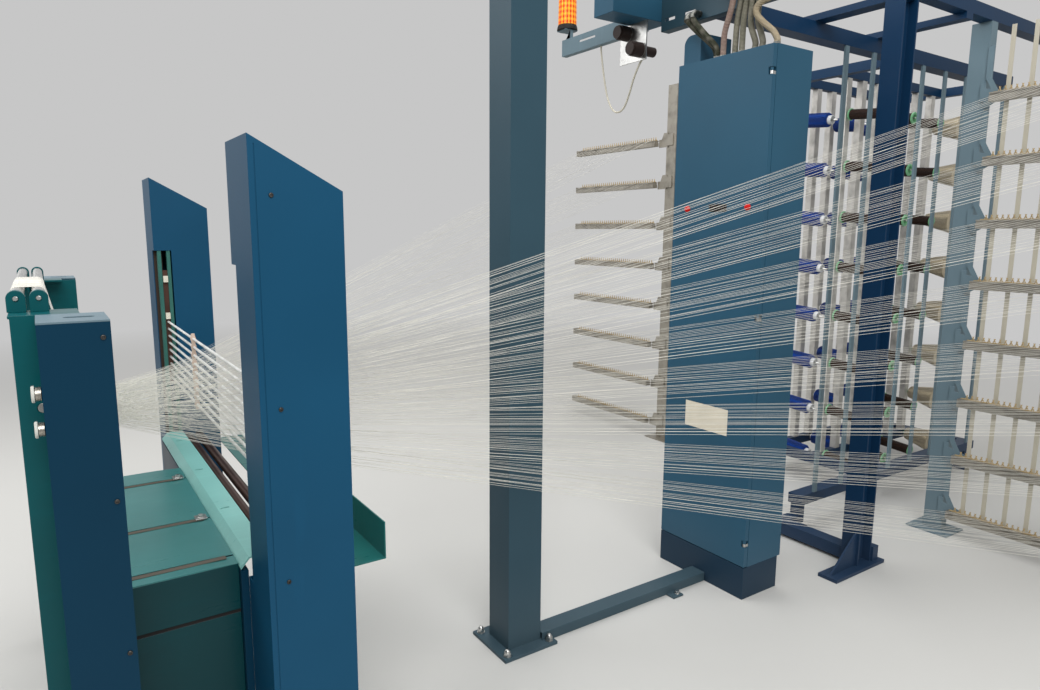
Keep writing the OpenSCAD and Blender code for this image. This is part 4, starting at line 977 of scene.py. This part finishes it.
class WARPING_OT_cabinet(bpy.types.Operator):
    """Rounds and paints the switch cabinet, and adds what is on and in it"""

    bl_idname = "warping.cabinet"
    bl_label = "Switch cabinet"

    def execute(self, context):
        round_all(0.9 * MM, powder_coat("cabinet_blue"), "cabinet_shell", "cabinet_door")
        # Darker plinth: painted shade at the foot of the cabinet.
        rounded_copy("cabinet_plinth", 0.9 * MM, powder_coat("plinth_blue"))
        rounded_copy("hinge_pins", 0.5 * MM, steel())
        rounded_copy("mounting_plate", 0.6 * MM, bare_metal("zinc_plate", colours().steel, rough=0.4))
        rounded_copy("switchgear", 1.5 * MM, plastic("device_grey", (0.80, 0.81, 0.79)))
        rounded_copy("door_latch", 1 * MM, dark_plastic())
        rounded_copy("door_card", 0.2 * MM, plastic("card_paper", rough=0.7), 1)
        self.buttons()
        return {"FINISHED"}

    def buttons(self):
        for node in ("left_button", "right_button"):
            radius = span(node, 2) / 2
            depth = span(node, 0)
            profile = [(radius - 1 * MM, 0), (radius, 1 * MM), (radius, depth - 6 * MM)]
            profile += [(radius - 1 * MM, depth - 4 * MM), (radius - 3 * MM, depth - 2.6 * MM)]
            profile += [(radius - 4 * MM, depth - 1.2 * MM), (radius - 7 * MM, depth - 0.2 * MM)]
            profile += [(0.5 * MM, depth)]
            piece = turned(node + "_cap", profile, 40, place=facing((-1, 0, 0), back_of(node)))
            dress(piece, body_of(node), plastic("button_red", rough=0.3, grain=0.02), node)


def back_of(node):
    """The middle of a node's face at +X, where a button or knob is seated."""
    return Vector((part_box(node)[1].x, *middle(node).yz))


BOX_SEAM = 0.630
SEAM_HALF = 4.6 * MM
LEG_BOTTOM = 11 * MM
LEG_TOP = 0.738
LEG_OVERLAP = 20 * MM
FOOT_OUT = 12 * MM
GAP = 0.5 * MM
LIP = 17 * MM
KNOB_SEAT = 16 * MM
KNOB_SHARE = 0.6
TALL_DROPS = (121, 572, 967)
SHORT_DROPS = (34, 364, 691)
LID = 4 * MM


class WARPING_OT_head(bpy.types.Operator):
    """Rounds and paints the columns, walls, deck and rollers of the yarn head"""

    bl_idname = "warping.head"
    bl_label = "Yarn head"

    def execute(self, context):
        edge = sizes().sheet_edge
        round_all(edge, powder_coat("machine_blue"), "near_tall_column", "far_tall_column")
        round_all(edge, powder_coat("short_column_blue"), "near_short_column", "far_short_column")
        rounded_copy("column_top_plates", 0.8 * MM, powder_coat("grey_blue"))
        round_all(edge, enamel("wall_teal"), "side_walls", "bearing_blocks")
        guides = rounded_copy("slot_guides", edge, enamel("rail_teal"))
        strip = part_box("slot_guides")[1].y - HEAD_Y - 5 * MM
        brown = powder_coat("strip_brown", rough=0.6)
        paint_part(guides, brown, lambda centre: abs(centre.y - HEAD_Y) > strip)
        box = rounded_copy("lower_box", 1.5 * MM, enamel("box_teal"))
        # A dark band along the box's seam: painted shade in the gap between its panels.
        paint_part(box, dark_plastic(), lambda centre: abs(centre.z - BOX_SEAM) < SEAM_HALF)
        self.leg_covers()
        rounded_copy("deck_plates", 1 * MM, enamel("teal_enamel"))
        # Paler teal on the guide angle: painted highlight.
        rounded_copy("guide_angle", 1 * MM, enamel("angle_teal"))
        rounded_copy("yarn_tray", 1 * MM, enamel("tray_teal"))
        rounded_copy("deck_clamps", 0.8 * MM, steel())
        browned = bare_metal("browned_iron", colours().iron, rough=0.6, metallic=0.4)
        rounded_copy("rod_carriers", 0.8 * MM, browned)
        rounded_copy("slide_blocks", 1.2 * MM, plastic("white_nylon", (0.88, 0.86, 0.80)))
        rounded_copy("reed", 0.1 * MM, steel(), 1)
        self.seals()
        self.rollers()
        self.take_up()
        self.rods()
        self.spacer()
        self.knobs()
        self.screws()
        return {"FINISHED"}

    def leg_covers(self):
        """Folded covers that close the gap between the lower box and each tall column."""
        box_low, box_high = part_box("lower_box")
        near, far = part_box("near_tall_column"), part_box("far_tall_column")
        covers = []
        for outer, inner, column_x in (
            (near[1].y - 3 * MM, box_low.y + LEG_OVERLAP, near[0].x),
            (far[0].y + 3 * MM, box_high.y - LEG_OVERLAP, far[0].x),
        ):
            start, end = box_high.x + GAP, column_x + FOOT_OUT - GAP
            place = ((start + end) / 2, (outer + inner) / 2, (LEG_BOTTOM + LEG_TOP) / 2)
            covers.append(bar(place, (end - start, abs(inner - outer), LEG_TOP - LEG_BOTTOM), 0.8 * MM))
        dress(united("leg_plates", covers), "root", powder_coat("short_column_blue"))

    def seals(self):
        """Rubber in the seams, with a flat lip on the near side of each, and a dark core beside it: painted
        shadow of the far plate's edge.
        """
        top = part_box("deck_plates")[1].z + 0.6 * MM
        core = copy_of("deck_seals")
        core.data.materials.clear()
        # The dark core is painted shadow cast by the far plate's edge.
        core.data.materials.append(dark_plastic())
        edges = sorted({round(corner.co.y, 4) for corner in core.data.vertices})
        lips = []
        for near in edges[::2]:
            place = (middle("deck_seals").x, near - LIP / 2, top)
            lips.append(bar(place, (span("deck_seals", 0), LIP, 1.4 * MM), 0.4 * MM))
            lips[-1].data.materials.append(plastic("seal_rubber", rough=0.7))
        dress(united("deck_seals_finish", [core, *lips]), "root", node="deck_seals")

    def roller(self, node, journal, finish, slot):
        """A tube with chamfered ends on its journals."""
        radius = span(node, 0) / 2
        half = span(node, 1) / 2
        end = half - 18 * MM
        chamfer = 1 * MM
        profile = [(journal - chamfer, -half), (journal, -half + chamfer), (journal, -end)]
        profile += [(radius - chamfer, -end), (radius, -end + chamfer)]
        piece = turned(node + "_tube", mirrored(profile), 48, place=facing((0, 1, 0), middle(node)))
        dress(piece, body_of(node), finish, node)

    def rollers(self):
        browned = bare_metal("browned_tube", colours().iron, rough=0.35, stretch=(40, 1, 40), metallic=0.75)
        for side in ("front", "back"):
            self.roller(side + "_guide_roller", 6 * MM, browned, "roller_brown")
            self.roller(side + "_delivery_roller", 5 * MM, steel(), "steel")

    def take_up(self):
        """The roll's flanges stand only a little over the yarn."""
        piece = copy_of("take_up_roll")
        centre = middle("take_up_roll")
        radius = span("wound_yarn", 2) / 2 + 3 * MM
        for corner in piece.data.vertices:
            away = Vector((corner.co.x - centre.x, 0, corner.co.z - centre.z))
            if away.length > radius:
                corner.co -= away * (1 - radius / away.length)
        dress(round_edges(piece, 0.8 * MM), body_of("take_up_roll"), steel(), "take_up_roll")

    def rods(self):
        radius = 4 * MM
        half = (RODS_HIGH.y - RODS_LOW.y) / 2
        rod = turned("rod", [(3 * MM, -half), (radius, -half + MM), (radius, half - MM), (3 * MM, half)], 20)
        places = [facing((0, 1, 0), (ROD_X, HEAD_Y, ROD_TOP - k * ROD_PITCH)) for k in range(TIERS + 1)]
        rods = spread(rod, places, "polished_rods")
        # Near-white and only partly metallic, so the rods look bright all round: painted reflection.
        rod_painted_reflection = bare_metal("polished_rod", (0.95, 0.95, 0.94), stretch=(40, 1, 40), metallic=0.4)
        dress(rods, "rod_carriage", rod_painted_reflection, "split_rods")

    def spacer(self):
        """Tape wound round the rods, pinched between each pair."""
        y = HEAD_Y + 130 * MM
        height = RODS_HIGH.z - RODS_LOW.z
        bpy.ops.object.select_all(action="DESELECT")
        place = (ROD_X, y, (RODS_LOW.z + RODS_HIGH.z) / 2)
        bpy.ops.mesh.primitive_cylinder_add(vertices=28, radius=9 * MM, depth=height, location=place)
        piece = settle(active())
        piece.name = "rod_spacer_tape"
        edit(piece)
        cuts = 4 * TIERS
        for k in range(1, cuts):
            bpy.ops.mesh.select_all(action="SELECT")
            z = RODS_LOW.z + height * k / cuts
            bpy.ops.mesh.bisect(plane_co=(ROD_X, y, z), plane_no=(0, 0, 1))
        leave_edit()
        for corner in piece.data.vertices:
            phase = (corner.co.z - ROD_LOW) / ROD_PITCH
            swell = 0.5 + 0.5 * math.cos(2 * math.pi * phase)
            sway = 3 * MM * math.sin(2 * math.pi * phase / 2.6)
            corner.co.x = ROD_X + (corner.co.x - ROD_X) * (0.6 + 0.4 * swell)
            corner.co.y = y + sway + (corner.co.y - y) * (0.7 + 0.3 * swell)
        smooth(outward(piece), 60)
        tape = plastic("spacer_tape", (0.82, 0.73, 0.67), rough=0.7, grain=0.3)
        dress(piece, "rod_carriage", tape)

    def knobs(self):
        """Knobs with four grip rings, on a turned steel neck."""
        for level in ("upper", "lower"):
            node = level + "_knob"
            radius = span(node, 2) / 2
            profile = [(5 * MM, 0), (5 * MM, 16 * MM)]
            profile += [(radius - 5 * MM, 16.2 * MM), (radius - 3.5 * MM, 18 * MM)]
            for base in (19, 23, 27, 31):
                profile += [(radius - 2.5 * MM, base * MM), (radius - 2.5 * MM, (base + 2.6) * MM)]
                profile += [(radius - 4.2 * MM, (base + 3) * MM), (radius - 4.2 * MM, (base + 3.8) * MM)]
            profile += [(radius - 0.6 * MM, 36 * MM), (radius, 37 * MM), (radius, 43 * MM)]
            profile += [(radius - 2 * MM, 45.6 * MM), (radius * 0.5, 46 * MM), (1 * MM, 46 * MM)]
            profile = [
                (r, z if z < KNOB_SEAT else KNOB_SEAT + (z - KNOB_SEAT) * KNOB_SHARE) for r, z in profile
            ]
            back = back_of(node)
            piece = turned(level + "_knob_body", profile, 40, place=facing((-1, 0, 0), back))
            dress(piece, body_of(node), bare_metal("turned_steel", (0.72, 0.70, 0.66)), node)
            cap = back.x - KNOB_SEAT - 19.7 * MM * KNOB_SHARE
            white = plastic("knob_white", (0.86, 0.86, 0.83), rough=0.35)
            paint_part(piece, white, lambda centre: centre.x < cap)

    def screws(self):
        """Socket screws, each with a ring and a turned recess."""
        places = []
        for side, name in ((-1, "near"), (1, "far")):
            for column, inset, drops, skirt, lid in (
                ("tall_column", 43, TALL_DROPS, FOOT_OUT, 0),
                ("short_column", 106, SHORT_DROPS, 0, LID),
            ):
                low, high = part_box(f"{name}_{column}")
                face = low.y + skirt if side < 0 else high.y - skirt
                x = low.x + skirt + inset * MM
                places += [facing((0, side, 0), (x, face, high.z + lid - drop * MM)) for drop in drops]
        profile = [(5 * MM, 0), (5 * MM, 2 * MM), (4.4 * MM, 2.8 * MM), (3.6 * MM, 3 * MM)]
        screw = turned("screw", profile + [(2.9 * MM, 2.9 * MM), (2.6 * MM, 0.8 * MM)], 12)
        dark = bare_metal("dark_screw", (0.34, 0.33, 0.32), rough=0.35)
        dress(spread(screw, places, "socket_screws"), "root", dark, "cover_screws")


class WARPING_OT_lamp(bpy.types.Operator):
    """Adds the signal lamp on its arm"""

    bl_idname = "warping.lamp"
    bl_label = "Signal lamp"

    def turn(self, name, node, sides, slot, material, outline):
        """One turned piece of the lamp. The outline gives its profile from its radius and height."""
        foot = Vector((*middle("lamp_base").xy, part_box(node)[0].z)) - Vector((0, LAMP_IN, 0))
        profile = outline(span(node, 0) / 2, span(node, 2))
        dress(turned(name, profile, sides, place=Matrix.Translation(foot)), "root", material, node)

    def foot(self, radius, tall):
        shoulder = radius - 2 * MM
        return [(shoulder, 0), (radius, 2 * MM), (shoulder, tall * 0.6), (radius - 6 * MM, tall)]

    def dome(self, radius, tall):
        crown = 30 * MM
        shoulder = radius - 2 * MM
        profile = [(shoulder, 0), (radius, 2 * MM), (shoulder, tall - crown)]
        turns = [math.radians(a) for a in (15, 30, 45, 60, 75, 88)]
        return profile + [(shoulder * math.cos(a), tall - crown + crown * math.sin(a)) for a in turns]

    def execute(self, context):
        self.turn("lamp_foot", "lamp_base", 48, "black_plastic", dark_plastic(), self.foot)
        self.turn("lamp_lens", "lamp_dome", 64, "lamp_amber", glow_plastic("amber_lens"), self.dome)
        return {"FINISHED"}


class WARPING_OT_motors(bpy.types.Operator):
    """Adds the two small motors under the overhead box"""

    bl_idname = "warping.motors"
    bl_label = "Motors"

    def execute(self, context):
        motors = rounded_copy("drive_motors", 2.5 * MM, plastic("motor_brown", (0.20, 0.16, 0.15), rough=0.4))
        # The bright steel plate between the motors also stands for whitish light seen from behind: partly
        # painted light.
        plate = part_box("drive_motors")[0].x + MOTOR_PLATE
        paint_part(motors, steel(), lambda centre: abs(centre.x - plate) < 3.5 * MM)
        return {"FINISHED"}


# Towers and creel

RAIL_DEPTH = 26 * MM
RAIL_DEEPER = 16 * MM
RAIL_SEAT = 9 * MM
COMB_LENGTH = 0.88
PIN_HEIGHT = 22 * MM
BAR_FRONT = 22.2 * MM


class WARPING_OT_towers(bpy.types.Operator):
    """Dresses both yarn guide towers, with their rails and ceramic combs"""

    bl_idname = "warping.towers"
    bl_label = "Guide towers"

    def comb_row(self, first, last, x, z, lean):
        """One row of ceramic pins with round tips."""
        pin, pitch, tall = sizes().pin, sizes().pin_pitch, PIN_HEIGHT
        half = pin / 2
        profile = [(half, -1 * MM), (half * 0.9, tall * 0.5), (half * 0.75, tall * 0.85), (pin / 5, tall)]
        place = Matrix.Translation((x, first, z)) @ Matrix.Rotation(lean, 4, "X")
        row = {"count": int((last - first) / pitch) + 1, "constant_offset_displace": (0, pitch, 0)}
        pins = turned("pin", profile, 6, place=place)
        return shaped(pins, "ARRAY", use_relative_offset=False, use_constant_offset=True, **row)

    def combs(self):
        """Two leaning rows of pins in a ceramic bar on each rail."""
        parts = []
        edges = (
            (COMB_LOW.y, COMB_LOW.y + COMB_LENGTH, (-0.42, 0.42)),
            (COMB_HIGH.y - COMB_LENGTH, COMB_HIGH.y, (-0.3, 0.3)),
        )
        for i in range(TIERS):
            foot = tier_z(i) - RAIL_SEAT
            for first, last, leans in edges:
                place = (RAIL_X, (first + last) / 2, foot + 2 * MM)
                parts.append(bar(place, (COMB_HIGH.x - COMB_LOW.x, last - first, 4 * MM), 1 * MM))
                for k, lean in enumerate(leans):
                    x = RAIL_X + (k - 0.5) * 3 * MM
                    start = first + 8 * MM + k * sizes().pin_pitch / 2
                    parts.append(self.comb_row(start, last - 14 * MM, x, foot + 4 * MM, lean))
        ceramic = plastic("comb_ceramic", rough=0.4, grain=0.02)
        dress(united("ceramic_combs", parts), "root", ceramic, "rail_combs")

    def execute(self, context):
        rounded_copy("right_tower", 1 * MM, powder_coat("grey_blue"))
        rounded_copy("left_tower", 1 * MM, bare_metal("tower_aluminium", colours().aluminium, rough=0.45))
        lowest = [tier_z(i) - RAIL_SEAT - RAIL_DEPTH for i in range(TIERS)]
        moves = [
            (lambda corner: any(z - 2 * MM < corner.z < z + 0.5 * MM for z in lowest), (0, 0, -RAIL_DEEPER)),
        ]
        aluminium = bare_metal("rail_aluminium", colours().aluminium, rough=0.5, stretch=(40, 1, 40))
        rails = rounded_copy("guide_rails", 0.8 * MM, aluminium, 2, moves)
        cream = powder_coat("bar_cream", (0.72, 0.70, 0.64), rough=0.5)
        paint_part(rails, cream, lambda centre: centre.x > RAIL_X + BAR_FRONT)
        self.combs()
        return {"FINISHED"}


POST_THIN = 38 * MM
POST_NARROW = 50 * MM
POST_PITCH = 240 * MM
PEG_SLOPE = math.radians(5)
PEG_PITCH = 312 * MM
PEG_IN = 14 * MM
FIRST_X = 2.630
CONE_X = 3.587
NEAR_Y = 0.430
BACK_Y = 0.730


class WARPING_OT_creel(bpy.types.Operator):
    """Dresses the creel frame and its packages"""

    bl_idname = "warping.creel"
    bl_label = "Creel"

    def package_places(self, x, y, count, start):
        """The places of one kind of package: a column for each x, a package for each tier."""
        direction = Vector((0, -math.cos(PEG_SLOPE), -math.sin(PEG_SLOPE)))
        back = 6 * MM * math.sin(PEG_SLOPE) + 0.3 * MM
        return [
            facing(direction, Vector((x + k * PEG_PITCH, y - back, tier_z(i) + 22 * MM)) + direction * start)
            for i in range(TIERS)
            for k in range(count)
        ]

    def package(self, name, profile, sides, yarn, core, test, places):
        """One kind of package: its yarn, and the core of another material where the test passes."""
        piece = turned(name, profile, sides, ring=True)
        piece.data.materials.append(yarn)
        paint_part(piece, core, test)
        self.store(piece, places, name)

    def bobbins(self):
        """Small bobbins with a hollow green rim at each end."""
        tall = 216 * MM
        rim, body, bore = 35 * MM, 29 * MM, 22 * MM
        profile = [(bore, 0), (rim - 3 * MM, 0), (rim, 3 * MM), (rim, 7 * MM), (rim - 2 * MM, 9 * MM)]
        profile = mirrored(profile + [(body, 9 * MM), (body, 60 * MM), (body, tall / 2)], tall)
        profile += [(bore - 2 * MM, tall - 14 * MM), (6.4 * MM, tall - 16 * MM), (6.4 * MM, 16 * MM)]
        self.package(
            "brown_bobbins", profile + [(bore - 2 * MM, 14 * MM)], 28,
            wound("brown_wound", pitch=1.2, sheen=0.05), plastic("rim_green", rough=0.35),
            lambda c: not 9.5 * MM < c.z < tall - 9.5 * MM or math.hypot(c.x, c.y) < body - 3 * MM,
            self.package_places(FIRST_X, NEAR_Y, 3, PEG_IN),
        )

    def blues(self):
        """Thick blue packages on a white tube."""
        radius, tall = 43 * MM, 190 * MM
        profile = [(8 * MM, 0), (25 * MM, 0), (25 * MM, 12 * MM)]
        profile += [(radius - 4 * MM, 13 * MM), (radius, 18 * MM)]
        profile += [(radius, 70 * MM), (radius, tall - 32 * MM), (radius - 4 * MM, tall - 26 * MM)]
        profile += [(26 * MM, tall - 24 * MM), (26 * MM, tall - 1 * MM), (24 * MM, tall), (21 * MM, tall)]
        profile += [(20 * MM, tall - 12 * MM), (8 * MM, tall - 14 * MM)]
        self.package(
            "blue_packages", profile, 32,
            wound("blue_wound", pitch=1.5, sheen=0.05), plastic("tube_white", (0.86, 0.87, 0.88), rough=0.4),
            lambda c: math.hypot(c.x, c.y) < 27 * MM, self.package_places(FIRST_X, BACK_Y, 3, PEG_IN),
        )

    def cones(self):
        """Cream cones with a green hub in the base."""
        base, nose, tall = 75 * MM, 40 * MM, 190 * MM
        profile = [(8 * MM, 0), (20 * MM, 0), (20 * MM, 8 * MM), (nose - 6 * MM, 9 * MM), (nose, 14 * MM)]
        profile += [(nose + (base - nose) * k / 4, 14 * MM + (tall - 30 * MM) * k / 4) for k in (1, 2, 3, 4)]
        profile += [(base - 3 * MM, tall - 9 * MM), (27 * MM, tall - 7 * MM)]
        profile += [(25 * MM, tall), (21 * MM, tall)]
        profile += [(20 * MM, tall - 12 * MM), (8 * MM, tall - 14 * MM)]
        self.package(
            "cream_cones", profile, 40, wound("cream_wound", pitch=1.8), plastic("rim_green", rough=0.35),
            lambda c: math.hypot(c.x, c.y) < 26 * MM, self.package_places(CONE_X, NEAR_Y, 1, PEG_IN),
        )

    def pegs(self):
        peg = turned("peg", [(6 * MM, 0), (6 * MM, 232 * MM), (5 * MM, 236 * MM), (2 * MM, 238 * MM)], 12)
        peg.data.materials.append(steel())
        rows = ((FIRST_X, NEAR_Y, 3), (FIRST_X, BACK_Y, 3), (CONE_X, NEAR_Y, 1))
        self.store(peg, [place for row in rows for place in self.package_places(*row, 0)], "package_pegs")

    def store(self, piece, places, name):
        dress(spread(piece, places, name), "root", node="packages")

    def execute(self, context):
        rounded_copy("creel_frame", sizes().beam_edge, powder_coat("creel_blue"))
        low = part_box("creel_posts")[0]
        front = low.y + 60 * MM
        moves = [
            (lambda corner: front - 20 * MM < corner.y < front, (0, -POST_THIN, 0)),
            (
                lambda corner: corner.y < front and (corner.x - low.x + MM) % POST_PITCH < 6 * MM,
                (POST_NARROW, 0, 0),
            ),
        ]
        posts = rounded_copy("creel_posts", 1.5 * MM, powder_coat("grey_blue"), 2, moves)
        pale = bare_metal("upright_aluminium", (0.80, 0.79, 0.77), rough=0.4, metallic=0.4)
        paint_part(posts, pale, lambda centre: centre.y > low.y + 100 * MM)
        self.bobbins()
        self.blues()
        self.cones()
        self.pegs()
        return {"FINISHED"}


OPERATORS = (
    WARPING_OT_stage,
    WARPING_OT_cables,
    WARPING_OT_yarns,
    WARPING_OT_portal,
    WARPING_OT_cabinet,
    WARPING_OT_head,
    WARPING_OT_lamp,
    WARPING_OT_motors,
    WARPING_OT_towers,
    WARPING_OT_creel,
)


class WARPING_PT_sidebar(bpy.types.Panel):
    """Lists the steps that dress the machine"""

    bl_idname = "WARPING_PT_sidebar"
    bl_label = "Warping machine"
    bl_space_type = "VIEW_3D"
    bl_region_type = "UI"
    bl_category = "Warping"

    def draw(self, context):
        for group in (context.scene.warping_colours, context.scene.warping_sizes):
            box = self.layout.box()
            for name in group.__annotations__:
                box.prop(group, name)
        for step in OPERATORS:
            self.layout.operator(step.bl_idname)


CLASSES = (WarpingColours, WarpingSizes, *OPERATORS, WARPING_PT_sidebar)


def register():
    for item in CLASSES:
        bpy.utils.register_class(item)
    bpy.types.Scene.warping_colours = bpy.props.PointerProperty(type=WarpingColours)
    bpy.types.Scene.warping_sizes = bpy.props.PointerProperty(type=WarpingSizes)


def unregister():
    del bpy.types.Scene.warping_sizes
    del bpy.types.Scene.warping_colours
    for item in reversed(CLASSES):
        bpy.utils.unregister_class(item)


def main():
    register()
    bpy.ops.warping.stage()
    bpy.ops.warping.cables()
    bpy.ops.warping.yarns()
    bpy.ops.warping.portal()
    bpy.ops.warping.cabinet()
    bpy.ops.warping.head()
    bpy.ops.warping.lamp()
    bpy.ops.warping.motors()
    bpy.ops.warping.towers()
    bpy.ops.warping.creel()


if __name__ == "__main__":
    main()
